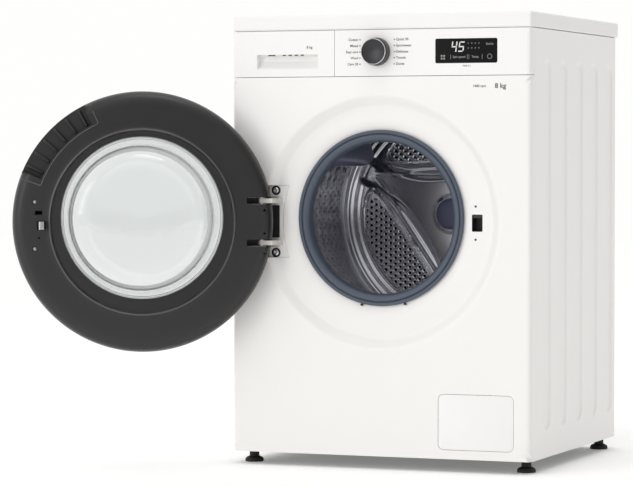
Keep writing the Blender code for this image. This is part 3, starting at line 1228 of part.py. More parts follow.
def make_damper(side_name, side):
    """Friction damper: a tube pivoted on the base and a rod pivoted on the tub."""
    low, top = damper_points(side)
    span = (Vector(top) - Vector(low)).length
    body = turned(f"damper_tube_{side_name}", [
        (0.0, 0.0), (0.0055, 0.0), (0.0055, 0.010), (DAMPER_RADIUS, 0.018), (DAMPER_RADIUS, span * 0.62), (0.0058, span * 0.62),
        (0.0058, 0.050), (0.0, 0.050)], (0, 0, 0), "z", AROUND_SMALL)
    aim(body, low, top)
    join(body, rod("eye", 0.0075, (low[0], low[1] - 0.0078, low[2]), 0.0156, "y"))
    cut(body, rod("eye_bore", 0.0041, (low[0], low[1] - 0.02, low[2]), 0.04, "y"))
    piston = turned(f"damper_rod_{side_name}", [
        (0.0, 0.066), (0.0050, 0.066), (0.0050, span - 0.004), (0.0, span - 0.004)], (0, 0, 0), "z", 12)
    aim(piston, low, top)
    join(piston, rod("eye", 0.0075, (top[0], top[1] - 0.0078, top[2]), 0.0156, "y"))
    cut(piston, rod("eye_bore", 0.0041, (top[0], top[1] - 0.02, top[2]), 0.04, "y"))
    return (finish(body, f"damper_tube_{side_name}", ZINC), finish(piston, f"damper_rod_{side_name}", STAINLESS), low)


# ---------------------------------------------------------------- assembly
def build():
    """Make every piece, hang the moving ones on their joints and place the machine on its origin."""
    tray = make_base_tray()
    for side in (-1, 1):
        low, _ = damper_points(side)
        fork(tray, low, -1, FOOT_HEIGHT + 0.001)
    make_cabinet()
    make_rear_cover()
    make_front_panel()
    make_top_brace()
    make_worktop()
    make_control_panel()
    make_display_window()
    make_control_board()
    attach(joint_frame("knob_axis", (KNOB_X, 0, KNOB_Z)), make_knob(), make_knob_ring())
    attach(joint_frame("drawer_axis", (DRAWER_RIGHT, 0, PANEL_BOTTOM)), make_drawer_front(), make_drawer_tray())
    make_dispenser_housing()
    make_inlet_valve()
    make_fill_hose()
    make_dispenser_hose()
    attach(joint_frame("flap_axis", (PUMP_X, 0.0, FLAP_Z[0])), make_filter_flap())
    make_pump_housing()
    make_pump_motor()
    attach(joint_frame("impeller_axis", (PUMP_X, 0.110, PUMP_Z)), make_impeller())
    attach(joint_frame("cap_axis", (PUMP_X, 0.016, PUMP_Z)), make_filter_cap())
    make_sump_hose()
    make_drain_hose()
    places = [(x, y) for y in FOOT_Y for x in (-FOOT_X, FOOT_X)]
    for number, (x, y) in enumerate(places, 1):
        attach(joint_frame(f"foot_axis_{number}", (x, y, 0)), make_foot(number, x, y))
    make_hinge_bracket()
    door = joint_frame("door_axis", (PIN_X, PIN_Y, DOOR_Z))
    attach(door, make_hinge_pin(), make_hinge_plate(), make_inner_ring(), make_outer_ring(), make_glass(), make_window_cover())
    hook_axis = joint_frame("hook_axis", (HOOK_X, -0.018, HOOK_Z))
    attach(hook_axis, make_hook())
    attach(door, hook_axis)
    make_door_lock()
    make_gasket()
    tub = joint_frame("tub_axis", (0, TUB_SPLIT, DRUM_Z))
    bearings = [make_bearing("bearing_front", BEARING_RADII[0], 0.4597), make_bearing("bearing_rear", BEARING_RADII[1], 0.4838)]
    attach(tub, make_tub_front(), make_tub_rear(), make_heater(), make_counterweight(), make_shaft_seal(), make_stator(), *bearings)
    drum = joint_frame("drum_axis", (0, DRUM_BACK, DRUM_Z))
    lifters = [make_lifter(number, angle) for number, angle in enumerate(LIFTER_ANGLES, 1)]
    attach(drum, make_drum_shell(), make_drum_back(), make_spider(), make_shaft(), make_rotor(), *lifters)
    attach(tub, drum)
    for side_name, side in (("left", -1), ("right", 1)):
        make_spring(f"spring_{side_name}", side)
        body, piston, low = make_damper(side_name, side)
        pivot = joint_frame(f"damper_axis_{side_name}", low)
        attach(pivot, body, piston)
    door.rotation_euler.z = -DOOR_OPEN
    place_on_origin()


def place_on_origin():
    """Move the machine so that its bounding box stands on the origin."""
    bpy.context.view_layer.update()
    graph = bpy.context.evaluated_depsgraph_get()
    corners = []
    for obj in MACHINE.objects:
        if obj.type == "MESH":
            seen = obj.evaluated_get(graph)
            mesh = seen.to_mesh()
            corners += [obj.matrix_world @ vertex.co for vertex in mesh.vertices]
            seen.to_mesh_clear()
    low = Vector([min(c[k] for c in corners) for k in range(3)])
    high = Vector([max(c[k] for c in corners) for k in range(3)])
    shift = Vector((-(low.x + high.x) / 2, -(low.y + high.y) / 2, -low.z))
    for obj in list(MACHINE.objects) + list(CUTTERS.objects):
        if obj.parent is None:
            obj.location += shift
    bpy.context.view_layer.update()


build()
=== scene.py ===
# %% [markdown]
# # Front load washing machine: the looks
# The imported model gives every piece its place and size. This lesson keeps that frame, puts finer surfaces
# over the pieces that the eye rests on, and gives each piece a finish worked out from its real material.

# %% The frame and its landmarks
import json
from math import atan2, cos, degrees, pi, radians, sin, sqrt

import bmesh
import bpy
import numpy as np
from mathutils import Matrix, Vector


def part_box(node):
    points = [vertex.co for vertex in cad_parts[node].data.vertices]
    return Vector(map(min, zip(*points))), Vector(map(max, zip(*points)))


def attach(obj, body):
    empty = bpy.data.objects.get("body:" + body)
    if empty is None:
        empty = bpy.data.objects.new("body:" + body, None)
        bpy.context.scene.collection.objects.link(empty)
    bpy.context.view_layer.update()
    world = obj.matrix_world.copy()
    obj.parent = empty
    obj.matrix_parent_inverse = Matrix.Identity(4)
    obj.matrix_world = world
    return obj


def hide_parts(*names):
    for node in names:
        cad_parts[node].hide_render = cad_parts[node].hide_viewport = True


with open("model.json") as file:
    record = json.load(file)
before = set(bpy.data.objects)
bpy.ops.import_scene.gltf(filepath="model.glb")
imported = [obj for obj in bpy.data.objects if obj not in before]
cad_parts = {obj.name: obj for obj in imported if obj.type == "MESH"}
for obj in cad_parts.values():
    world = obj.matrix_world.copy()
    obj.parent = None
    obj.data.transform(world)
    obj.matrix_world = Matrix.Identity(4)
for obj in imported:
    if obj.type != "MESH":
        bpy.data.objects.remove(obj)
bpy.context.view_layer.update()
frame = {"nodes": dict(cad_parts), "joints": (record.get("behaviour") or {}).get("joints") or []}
MM = 0.001
nodes = frame["nodes"]
joints = {joint["name"]: joint for joint in frame["joints"]}

worktop_low, worktop_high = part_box("worktop")
SHIFT = np.array([(worktop_low.x + worktop_high.x) / 2, worktop_low.y, 0.0])   # casing's front centre line
HALF = (worktop_high.x - worktop_low.x) / 2
PIN = np.array(joints["door_hinge"]["pos_m"]) - SHIFT
OPENED = radians(joints["door_hinge"]["range_deg"][1])
DOOR_Z = joints["door_hinge"]["pos_m"][2]
DRUM_Z = joints["drum_spin"]["pos_m"][2]
print("casing centre", SHIFT.round(4), "pin", PIN.round(4), "door opened by", round(degrees(OPENED)), "degrees")


# %% [markdown]
# ## From arrays to meshes
# A smooth surface is a grid of points: two parameters run over it, and numpy works out every point at once.
# Modelling it by hand would also do, but a formula keeps each size readable and easy to change.

# %% Grid helpers
def casing(points):
    """Casing coordinates (x from the centre plane, y from the front face, z from the floor) to the row frame."""
    return np.asarray(points, float) + SHIFT


def swung(points):
    """Points of the shut door turned about the hinge pin to where the open door stands."""
    p = np.asarray(points, float) - PIN
    c, s = cos(-OPENED), sin(-OPENED)
    turned = np.stack([p[..., 0] * c - p[..., 1] * s, p[..., 0] * s + p[..., 1] * c, p[..., 2]], -1)
    return turned + PIN


def mesh_piece(name, points, faces, smooth=True, flip=False):
    """A mesh object in the row frame from casing coordinates, its doubles merged and its faces outwards."""
    mesh = bpy.data.meshes.new(name)
    mesh.from_pydata(casing(points).reshape(-1, 3).tolist(), [], faces)
    bm = bmesh.new()
    bm.from_mesh(mesh)
    bmesh.ops.remove_doubles(bm, verts=bm.verts, dist=0.02 * MM)
    bmesh.ops.recalc_face_normals(bm, faces=bm.faces)
    if flip:
        bmesh.ops.reverse_faces(bm, faces=bm.faces)
    bm.to_mesh(mesh)
    bm.free()
    piece = bpy.data.objects.new(name, mesh)
    bpy.context.scene.collection.objects.link(piece)
    if smooth:
        mesh.shade_smooth()
        mesh.set_sharp_from_angle(angle=radians(32))
    return piece


def grid_faces(rows, columns, round_rows=False, round_columns=False):
    """Quads between neighbouring points of a grid; a round direction joins its end to its start."""
    index = np.arange(rows * columns).reshape(rows, columns)
    if round_rows:
        index = np.vstack([index, index[:1]])
    if round_columns:
        index = np.hstack([index, index[:, :1]])
    quads = np.stack([index[:-1, :-1], index[1:, :-1], index[1:, 1:], index[:-1, 1:]], -1)
    return quads.reshape(-1, 4).tolist()


def soften(line, times=2, ring=False):
    """Chaikin's corner cutting: each corner gives way to points a quarter of the way along its two sides."""
    p = np.asarray(line, float)
    for _ in range(times):
        q = np.roll(p, -1, 0) if ring else p[1:]
        first = p if ring else p[:-1]
        cut = np.stack([0.75 * first + 0.25 * q, 0.25 * first + 0.75 * q], 1).reshape(-1, 2)
        p = cut if ring else np.vstack([p[:1], cut, p[-1:]])
    return p


def sheet_section(line, wall):
    """Closed section of a wall: the line, and the same line moved sideways by the wall, run backwards."""
    p = np.asarray(line, float)
    along = np.gradient(p, axis=0)
    along /= np.linalg.norm(along, axis=1)[:, None]
    across = np.stack([-along[:, 1], along[:, 0]], -1)
    return np.vstack([p, (p + across * wall)[::-1]])


def turned_points(profile, centre_x, centre_z, steps):
    """Every profile point (radius, y) carried round the y axis: x = cx + r cos a, z = cz + r sin a."""
    a = np.linspace(0, 2 * pi, steps, endpoint=False)[:, None]
    r, y = np.asarray(profile, float).T
    return np.stack([centre_x + r * np.cos(a), y + 0 * a, centre_z + r * np.sin(a)], -1)


def turned_piece(name, profile, centre_x, centre_z, steps=160, ring=True, move=None):
    """A turned piece; ring says that the profile is a closed loop, otherwise it starts and ends on the axis."""
    points = turned_points(profile, centre_x, centre_z, steps)
    if move is not None:
        points = move(points)
    return mesh_piece(name, points, grid_faces(steps, len(profile), True, ring))


def prism(name, outline, y_range, move=None, smooth=False):
    """A plate: a closed outline (x, z) carried from one y to another, with a cap at each end."""
    p = np.asarray(outline, float)
    n = len(p)
    points = np.stack([np.stack([p[:, 0], np.full(n, y), p[:, 1]], -1) for y in y_range])
    if move is not None:
        points = move(points)
    faces = grid_faces(2, n, round_columns=True) + [list(range(n)), list(range(2 * n - 1, n - 1, -1))]
    return mesh_piece(name, points, faces, smooth)


def round_tool(x, z, radius, y_range, steps, move=None):
    """A cylinder along y that cuts a round hole."""
    a = np.linspace(0, 2 * pi, steps, endpoint=False)
    return prism("tool", np.stack([x + radius * np.cos(a), z + radius * np.sin(a)], -1), y_range, move)


def rounded(x, z, radius, per_corner=7):
    """Outline of a rectangle whose corners are quarter circles."""
    a = np.radians(np.linspace(0, 90, per_corner))
    corners = [(x[1] - radius, z[1] - radius, 0), (x[0] + radius, z[1] - radius, 1),
               (x[0] + radius, z[0] + radius, 2), (x[1] - radius, z[0] + radius, 3)]
    return np.vstack([np.stack([cx + radius * np.cos(a + k * pi / 2), cz + radius * np.sin(a + k * pi / 2)], -1)
                      for cx, cz, k in corners])


def sector(inner, outer, first, last, steps=24):
    """Outline of a ring sector round the door's axis, angles in degrees from +x."""
    a = np.radians(np.linspace(first, last, steps))
    far = np.stack([outer * np.cos(a), DOOR_Z + outer * np.sin(a)], -1)
    near = np.stack([inner * np.cos(a), DOOR_Z + inner * np.sin(a)], -1)
    return np.vstack([far, near[::-1]])


def worked(piece, cuts=(), joins=()):
    """Cut and join other solids, keep the result as the piece's own mesh and take the tools away."""
    for operation, tools in (("UNION", joins), ("DIFFERENCE", cuts)):
        for tool in tools:
            modifier = piece.modifiers.new(operation.lower(), "BOOLEAN")
            modifier.operation, modifier.solver, modifier.object = operation, "EXACT", tool
    return settled(piece, (*cuts, *joins))


def settled(piece, tools=()):
    """Apply a piece's modifiers and shade it smooth but for its edges."""
    graph = bpy.context.evaluated_depsgraph_get()
    mesh = bpy.data.meshes.new_from_object(piece.evaluated_get(graph))
    piece.modifiers.clear()
    piece.data = mesh
    mesh.shade_smooth()
    mesh.set_sharp_from_angle(angle=radians(32))
    for tool in tools:
        bpy.data.objects.remove(tool, do_unlink=True)
    return piece


def edged(piece, width, segments=2):
    """Round a plate's edges a little, as every moulded or pressed piece has them."""
    bevel = piece.modifiers.new("edges", "BEVEL")
    bevel.width, bevel.segments, bevel.limit_method, bevel.angle_limit = width, segments, "ANGLE", radians(40)
    return settled(piece)


# %% [markdown]
# ## Finishes
# Each finish starts from the real material: enamelled steel, moulded plastic, rubber, polished stainless steel.
# A little noise in the roughness and a shallow bump keep the large plain faces from looking like paper.

# %% A finish from a few nodes
def linear(code):
    """An sRGB hex colour as linear RGBA: ((c + 0.055) / 1.055) ** 2.4 above the toe."""
    c = np.array([int(code[k:k + 2], 16) for k in (1, 3, 5)]) / 255
    return (*np.where(c <= 0.04045, c / 12.92, ((c + 0.055) / 1.055) ** 2.4), 1.0)


def add(tree, kind, links=(), settings=(), **values):
    """Add one node: settings go to its properties, values to its inputs, links join sockets to inputs."""
    node = tree.nodes.new(kind)
    for key, value in dict(settings).items():
        setattr(node, key, value)
    for key, value in values.items():
        node.inputs[key.replace("_", " ")].default_value = value
    for name, socket in dict(links).items():
        tree.links.new(socket, node.inputs[name])
    return node


def start_finish(name, colour, roughness, metallic=0.0):
    """A material with its Principled shader set from a colour, a roughness and a metallic value."""
    material = bpy.data.materials.new(name)
    material.use_nodes = True
    tree = material.node_tree
    shader = tree.nodes["Principled BSDF"]
    shader.inputs["Base Color"].default_value = linear(colour)
    shader.inputs["Roughness"].default_value = roughness
    shader.inputs["Metallic"].default_value = metallic
    return material, tree, shader


def noisy(tree, size_mm, detail=3.0, stretch=(1, 1, 1)):
    """Noise whose blobs are about a given size in millimetres, read in the piece's own coordinates."""
    place = add(tree, "ShaderNodeTexCoord")
    mapped = add(tree, "ShaderNodeMapping", {"Vector": place.outputs["Object"]}, Scale=stretch)
    return add(tree, "ShaderNodeTexNoise", {"Vector": mapped.outputs["Vector"]}, Scale=1000 / size_mm, Detail=detail)


def finish_of(name, colour, roughness, metallic=0.0, grain_mm=1.5, bump=0.05, spread=0.08, tone=0.04,
              stretch=(1, 1, 1), coat=0.0):
    """A finish with a fine bump, uneven roughness and a slow drift of tone."""
    material, tree, shader = start_finish(name, colour, roughness, metallic)
    grain = noisy(tree, grain_mm, stretch=stretch)
    relief = add(tree, "ShaderNodeBump", {"Height": grain.outputs["Fac"]}, Strength=bump, Distance=0.1 * MM)
    tree.links.new(relief.outputs["Normal"], shader.inputs["Normal"])
    drift = noisy(tree, 60.0, 2.0)
    rough = add(tree, "ShaderNodeMapRange", {"Value": drift.outputs["Fac"]}, To_Min=roughness - spread / 2,
                To_Max=roughness + spread / 2)
    tree.links.new(rough.outputs["Result"], shader.inputs["Roughness"])
    base = np.array(linear(colour))
    dim = tuple(base[:3] * (1 - tone)) + (1.0,)
    shade = add(tree, "ShaderNodeMix", {"Factor": drift.outputs["Fac"]}, {"data_type": "RGBA"})
    shade.inputs[6].default_value, shade.inputs[7].default_value = dim, tuple(base)
    tree.links.new(shade.outputs[2], shader.inputs["Base Color"])
    shader.inputs["Coat Weight"].default_value = coat
    return material


# %% The plain finishes
# Powder enamel on steel: hard, smooth, with the faint orange peel of a sprayed coat.
ENAMEL = finish_of("white_enamel", "#F4F2F0", 0.32, grain_mm=2.5, bump=0.04, tone=0.02, coat=0.15)
LAMINATE = finish_of("white_laminate", "#F3F2F1", 0.38, grain_mm=0.8, bump=0.06, tone=0.02)
# Moulded white ABS: a finer, softer gloss than the enamel.
ABS_WHITE = finish_of("white_abs", "#F5F3F2", 0.36, grain_mm=0.6, bump=0.05, tone=0.02)
ABS_BLACK = finish_of("black_abs", "#262526", 0.40, grain_mm=0.5, bump=0.10, tone=0.15)
ABS_SATIN = finish_of("black_satin_ring", "#212021", 0.38, grain_mm=0.5, bump=0.08, tone=0.12)
POLYPROPYLENE = finish_of("grey_polypropylene", "#8D9096", 0.48, grain_mm=0.8, bump=0.08)
TUB_PLASTIC = finish_of("filled_polypropylene", "#A7A8A6", 0.55, grain_mm=1.2, bump=0.15, tone=0.10)
LIFTER_PLASTIC = finish_of("lifter_plastic", "#7C82A6", 0.30, grain_mm=0.9, bump=0.05, tone=0.08)
# Rubber of the gasket: blue grey, matt, its tone drifting a little at random.
GASKET_RUBBER = finish_of("gasket_rubber", "#4C5563", 0.42, grain_mm=1.0, bump=0.12, tone=0.15)
HOSE_RUBBER = finish_of("hose_rubber", "#1E1E1F", 0.60, grain_mm=1.0, bump=0.20)
FOOT_RUBBER = finish_of("foot_rubber", "#1B1B1C", 0.65, grain_mm=1.0, bump=0.20)
STAINLESS = finish_of("polished_stainless", "#C9C9CE", 0.18, 1.0, grain_mm=0.5, bump=0.05, stretch=(1, 12, 1))
BRIGHT_STEEL = finish_of("bright_steel", "#D6D6D8", 0.22, 1.0, grain_mm=0.5, bump=0.05)
ZINC = finish_of("zinc_plate", "#A9ABA8", 0.36, 1.0, grain_mm=4.0, bump=0.08, tone=0.20)
CAST_ALLOY = finish_of("die_cast_alloy", "#D9D6D0", 0.42, 0.55, grain_mm=0.8, bump=0.20, tone=0.12)
DARK_LACQUER = finish_of("dark_lacquer", "#2B2B2D", 0.40, grain_mm=1.0, bump=0.10)
CAST_IRON = finish_of("cast_counterweight", "#6A6966", 0.80, grain_mm=2.5, bump=0.60, tone=0.25)
SOLDER_MASK = finish_of("circuit_board", "#155A33", 0.45, grain_mm=1.0, bump=0.10)
WHITE_PRINT = finish_of("white_print", "#EDEDED", 0.5, grain_mm=0.4, bump=0.05)
GREY_PRINT = finish_of("grey_print", "#3E3E42", 0.5, grain_mm=0.4, bump=0.05)
PIANO_BLACK = finish_of("piano_black", "#08080A", 0.12, grain_mm=6.0, bump=0.01, spread=0.03)
PIANO_BLACK.node_tree.nodes["Principled BSDF"].inputs["Specular IOR Level"].default_value = 0.15
FAINT_PRINT = finish_of("faint_display_print", "#8E8E90", 0.5, grain_mm=0.4, bump=0.05)
# Painted highlight: the door ring's black plastic in a lighter grey, so its raised lines read as lit edges.
PAINTED_HIGHLIGHT_PLASTIC = finish_of("polished_ridge", "#5A595A", 0.30, grain_mm=0.5, bump=0.04)
SKIRT_PLASTIC = finish_of("knob_skirt", "#141415", 0.25, grain_mm=0.5, bump=0.05)


# %% [markdown]
# ## Glass
# The porthole is pressed soda glass, clear and a few millimetres thick, behind a clear outer window.
# A transmission shader bends the light at the rim and gives the bright and dark rings that real glass shows.

# %% Glass finish
def glass_finish(name, colour, roughness):
    """Clear glass or plastic with a slow, faint ripple."""
    material, tree, shader = start_finish(name, colour, roughness)
    shader.inputs["Transmission Weight"].default_value = 1.0
    shader.inputs["IOR"].default_value = 1.45
    ripple = noisy(tree, 45.0, 1.0)
    relief = add(tree, "ShaderNodeBump", {"Height": ripple.outputs["Fac"]}, Strength=0.03, Distance=0.2 * MM)
    tree.links.new(relief.outputs["Normal"], shader.inputs["Normal"])
    return material


GLASS = glass_finish("pressed_glass", "#F4F6F6", 0.02)
COVER = glass_finish("clear_cover", "#EFF1F1", 0.03)


# %% [markdown]
# ## Pierced steel
# The drum is stainless sheet with small holes, 12 mm apart in staggered rows. Thousands of real holes would
# be heavy, so the holes are dished dots in painted shade, dark as the shade inside an open hole: the distance to the
# nearest point of two shifted square grids.

# %% Holes in staggered rows
HOLE_PITCH = 12 * MM
HOLE_RADIUS = 3.1 * MM


def pierced_finish(name, source, attribute, pitch, radius, roughness):
    """Stainless steel with staggered holes in painted shade wherever the named attribute is above a half."""
    material, tree, shader = start_finish(name, "#CDCDD3", roughness, 1.0)
    if source == "Object":
        place = add(tree, "ShaderNodeTexCoord").outputs["Object"]
        swap = add(tree, "ShaderNodeSeparateXYZ", {"Vector": place})
        place = add(tree, "ShaderNodeCombineXYZ", {"X": swap.outputs["Z"], "Y": swap.outputs["X"]}).outputs["Vector"]
    else:
        place = add(tree, "ShaderNodeUVMap", (), {"uv_map": "arc"}).outputs["UV"]
    size = (pitch, pitch * sqrt(3), 1.0)
    distances = []
    for offset in (0.0, 0.5):
        cell = add(tree, "ShaderNodeMapping", {"Vector": place}, Scale=tuple(1 / s for s in size),
                   Location=(offset, offset, 0.5))
        part = add(tree, "ShaderNodeVectorMath", {0: cell.outputs["Vector"]}, {"operation": "FRACTION"})
        middle = add(tree, "ShaderNodeVectorMath", {0: part.outputs[0]}, {"operation": "SUBTRACT"})
        middle.inputs[1].default_value = (0.5, 0.5, 0.5)
        real = add(tree, "ShaderNodeVectorMath", {0: middle.outputs[0]}, {"operation": "MULTIPLY"})
        real.inputs[1].default_value = (size[0], size[1], 0.0)
        distances.append(add(tree, "ShaderNodeVectorMath", {0: real.outputs[0]}, {"operation": "LENGTH"}).outputs["Value"])
    near = add(tree, "ShaderNodeMath", {0: distances[0], 1: distances[1]}, {"operation": "MINIMUM"})
    hole = add(tree, "ShaderNodeMapRange", {"Value": near.outputs[0]}, From_Min=radius * 1.08, From_Max=radius * 0.92)
    where = add(tree, "ShaderNodeAttribute", (), {"attribute_name": attribute})
    mask = add(tree, "ShaderNodeMath", {0: hole.outputs["Result"], 1: where.outputs["Fac"]}, {"operation": "MULTIPLY"})
    dish = add(tree, "ShaderNodeMapRange", {"Value": near.outputs[0]}, From_Min=radius, From_Max=radius * 1.7)
    flat = add(tree, "ShaderNodeMix", {"Factor": where.outputs["Fac"], "B": dish.outputs["Result"]}, A=1.0)
    relief = add(tree, "ShaderNodeBump", {"Height": flat.outputs[0]}, Strength=0.6, Distance=0.8 * MM)
    tree.links.new(relief.outputs["Normal"], shader.inputs["Normal"])
    # Painted shade: inside each hole the colour turns near black, standing for the shade seen through the open hole.
    shade = add(tree, "ShaderNodeMix", {"Factor": mask.outputs[0]}, {"data_type": "RGBA"})
    shade.inputs[6].default_value, shade.inputs[7].default_value = linear("#CDCDD3"), linear("#060607")
    tree.links.new(shade.outputs[2], shader.inputs["Base Color"])
    solid = add(tree, "ShaderNodeMath", {1: mask.outputs[0]}, {"operation": "SUBTRACT"})
    solid.inputs[0].default_value = 1.0
    tree.links.new(solid.outputs[0], shader.inputs["Metallic"])
    rough = add(tree, "ShaderNodeMapRange", {"Value": mask.outputs[0]}, To_Min=roughness, To_Max=0.8)
    tree.links.new(rough.outputs["Result"], shader.inputs["Roughness"])
    return material


DRUM_BACK_STEEL = pierced_finish("pierced_back", "Object", "pierced", HOLE_PITCH, HOLE_RADIUS, 0.22)
DRUM_WALL_STEEL = pierced_finish("pierced_wall", "UV", "pierced", 16 * MM, 1.7 * MM, 0.20)


# %% [markdown]
# ## Pieces that keep their shape
# Most hidden pieces, and the flat ones in view, are right as the frame has them. They only get their finish.

# %% Finishes on the frame's own pieces
def paint_nodes(material, *names):
    """Give the frame's own pieces a finish."""
    for name in names:
        nodes[name].data.materials.clear()
        nodes[name].data.materials.append(material)


paint_nodes(ENAMEL, "cabinet", "front_panel")
paint_nodes(LAMINATE, "worktop")
paint_nodes(ABS_WHITE, "control_panel", "drawer_front", "filter_flap", "filter_cap")
paint_nodes(ABS_BLACK, "programme_knob", "door_lock", "stator", "pump_impeller")
paint_nodes(ABS_SATIN, "door_inner_frame", "door_outer_frame")
paint_nodes(POLYPROPYLENE, "drawer_tray", "dispenser_housing", "inlet_valve", "pump_housing")
paint_nodes(TUB_PLASTIC, "tub_front", "tub_rear")
paint_nodes(LIFTER_PLASTIC, "lifter_1", "lifter_2", "lifter_3")
paint_nodes(PIANO_BLACK, "display_window")
paint_nodes(GLASS, "door_glass")
paint_nodes(COVER, "window_cover")
paint_nodes(STAINLESS, "hinge_pin", "drum_shell", "drum_back", "heater", "drum_shaft", "bearing_front",
            "bearing_rear", "damper_rod_left", "damper_rod_right")
paint_nodes(BRIGHT_STEEL, "knob_ring", "door_hook")
paint_nodes(ZINC, "base_tray", "rear_cover", "top_brace", "rotor", "spring_left", "spring_right",
            "damper_tube_left", "damper_tube_right")
paint_nodes(DARK_LACQUER, "pump_motor")
paint_nodes(CAST_ALLOY, "hinge_bracket", "hinge_plate", "spider")
paint_nodes(CAST_IRON, "counterweight")
paint_nodes(GASKET_RUBBER, "gasket")
paint_nodes(HOSE_RUBBER, "fill_hose", "dispenser_hose", "sump_hose", "drain_hose", "shaft_seal")
paint_nodes(FOOT_RUBBER, "foot_1", "foot_2", "foot_3", "foot_4")
paint_nodes(SOLDER_MASK, "control_board")


def dressed(piece, material, body, slot=None, *stands_for):
    """Give a new piece its finish, the body it rides on and the nodes that it stands for; slot is not used."""
    piece.data.materials.clear()
    piece.data.materials.append(material)
    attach(piece, body)
    if stands_for:
        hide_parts(*stands_for)
    print(piece.name, len(piece.data.polygons), "faces")
    return piece


# %% [markdown]
# ## Front panel
# One pressed sheet: flat, bent round both upright corners, with a shallow round dish about the door and a
# collar drawn inwards at the mouth. Lines run from the mouth to the sheet's border, and a height rule along
# each line gives the dish; the flat sheet is then bent round the corners.

# %% Front panel
SHEET = 1.2 * MM
CORNER = 8 * MM
RETURN = 20 * MM
MOUTH = 163 * MM
DISH_OUT, DISH_IN, DISH_DEPTH = 240.5 * MM, 219 * MM, 12 * MM
panel_low, panel_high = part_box("front_panel")


def smooth_step(t):
    """0 below 0, 1 above 1, and 3t^2 - 2t^3 between."""
    t = np.clip(t, 0, 1)
    return t * t * (3 - 2 * t)


def bent(s, z, y):
    """Carry a point of the flat sheet, s across it, round the upright corner of radius CORNER."""
    flat = HALF - CORNER
    over = np.clip(np.abs(s) - flat, 0, None)
    a = np.clip(over / CORNER, 0, pi / 2)
    straight = np.clip(over - CORNER * pi / 2, 0, None)
    x = np.sign(s) * np.where(over > 0, flat + CORNER * np.sin(a), np.abs(s))
    return np.stack([x, np.where(over > 0, CORNER * (1 - np.cos(a)) + straight, y), z], -1)


def front_sheet():
    """Rows run from the mouth's collar to the border; columns run round the door's axis."""
    half = HALF - CORNER + CORNER * pi / 2 + RETURN - CORNER
    up, down = panel_high.z - DOOR_Z, DOOR_Z - panel_low.z
    corners = [atan2(up, half), atan2(up, -half), atan2(-down, -half) + 2 * pi, atan2(-down, half) + 2 * pi]
    a = np.unique(np.concatenate([np.linspace(0, 2 * pi, 288, endpoint=False), corners]))
    with np.errstate(divide="ignore"):
        border = np.minimum(half / np.abs(np.cos(a)), np.where(np.sin(a) > 0, up, down) / np.abs(np.sin(a)))
    drop = DRUM_Z - DOOR_Z
    mouth = drop * np.sin(a) + np.sqrt(MOUTH ** 2 - (drop * np.cos(a)) ** 2)
    collar = [(0.0, 24.0), (0.0, 14.5), (0.6, 12.8), (2.0, 12.0)]
    rows = [(mouth + out * MM, np.full(len(a), deep * MM)) for out, deep in collar]
    for r in np.concatenate([np.linspace(195 * MM, DISH_IN, 3), np.linspace(DISH_IN, DISH_OUT, 14)[1:]]):
        fall = 1 - smooth_step((r - DISH_IN) / (DISH_OUT - DISH_IN))
        rows.append((np.full(len(a), r), np.full(len(a), DISH_DEPTH * fall)))
    for t in np.linspace(0, 1, 46)[1:]:
        rows.append((DISH_OUT + (border - DISH_OUT) * t, np.zeros(len(a))))
    r, y = np.stack([row[0] for row in rows]), np.stack([row[1] for row in rows])
    return bent(r * np.cos(a), DOOR_Z + r * np.sin(a), y)


sheet = front_sheet()
panel = mesh_piece("front_panel_skin", sheet, grid_faces(*sheet.shape[:2], round_columns=True))
if sum(p.normal.y for p in panel.data.polygons) > 0:
    panel.data.flip_normals()
wall = panel.modifiers.new("sheet", "SOLIDIFY")
wall.thickness, wall.offset = SHEET, -1.0
settled(panel)
hook_pin = np.array(joints["hook_pivot"]["pos_m"]) - SHIFT - PIN
HOOK_X = PIN[0] + hook_pin[0] * cos(OPENED) - hook_pin[1] * sin(OPENED)
HOOK_Z = joints["hook_pivot"]["pos_m"][2]
print("hook at", round(HOOK_X, 4), round(HOOK_Z, 4))
LOCK_HALF = (10.5 * MM, 16 * MM)
lock_hole = prism("tool", rounded((HOOK_X - LOCK_HALF[0], HOOK_X + LOCK_HALF[0]), (DOOR_Z - LOCK_HALF[1], DOOR_Z + LOCK_HALF[1]),
                                  2 * MM), (-0.02, 0.03))
flap_low, flap_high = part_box("filter_flap")
FLAP_X = (flap_low.x - SHIFT[0] - 0.6 * MM, flap_high.x - SHIFT[0] + 0.6 * MM)
FLAP_Z = (flap_low.z - 0.6 * MM, flap_high.z + 0.6 * MM)
flap_hole = prism("tool", rounded(FLAP_X, FLAP_Z, 11 * MM), (-0.02, 0.012))
HINGE_HALF, HINGE_ARC, HINGE_LEFT = 69 * MM, 199.5 * MM, -229 * MM
reach = np.arcsin(HINGE_HALF / HINGE_ARC)
hinge_arc = pi - np.linspace(-reach, reach, 17)
hinge_outline = np.vstack([np.stack([HINGE_ARC * np.cos(hinge_arc), DOOR_Z + HINGE_ARC * np.sin(hinge_arc)], -1),
                           [(HINGE_LEFT, DOOR_Z + HINGE_HALF), (HINGE_LEFT, DOOR_Z - HINGE_HALF)]])
hinge_hole = prism("tool", hinge_outline, (-0.02, 0.03))
worked(panel, cuts=(lock_hole, flap_hole, hinge_hole))
dressed(panel, ENAMEL, "casing", "white_enamel", "front_panel")

flap = edged(prism("filter_flap_skin", rounded((FLAP_X[0] + 0.7 * MM, FLAP_X[1] - 0.7 * MM),
                                               (FLAP_Z[0] + 0.7 * MM, FLAP_Z[1] - 0.7 * MM), 10.3 * MM), (0.0, 3 * MM)), 0.5 * MM)
dressed(flap, ABS_WHITE, "flap", "white_plastic", "filter_flap")

# %% [markdown]
# ## Casing
# The side walls carry five long pressed ribs with rounded ends, which stop a thin sheet from drumming. One
# strip runs from the front flange back along a side, across the rear and forward again; its height rule
# presses the ribs inwards. The rear opening is left out of the strip.

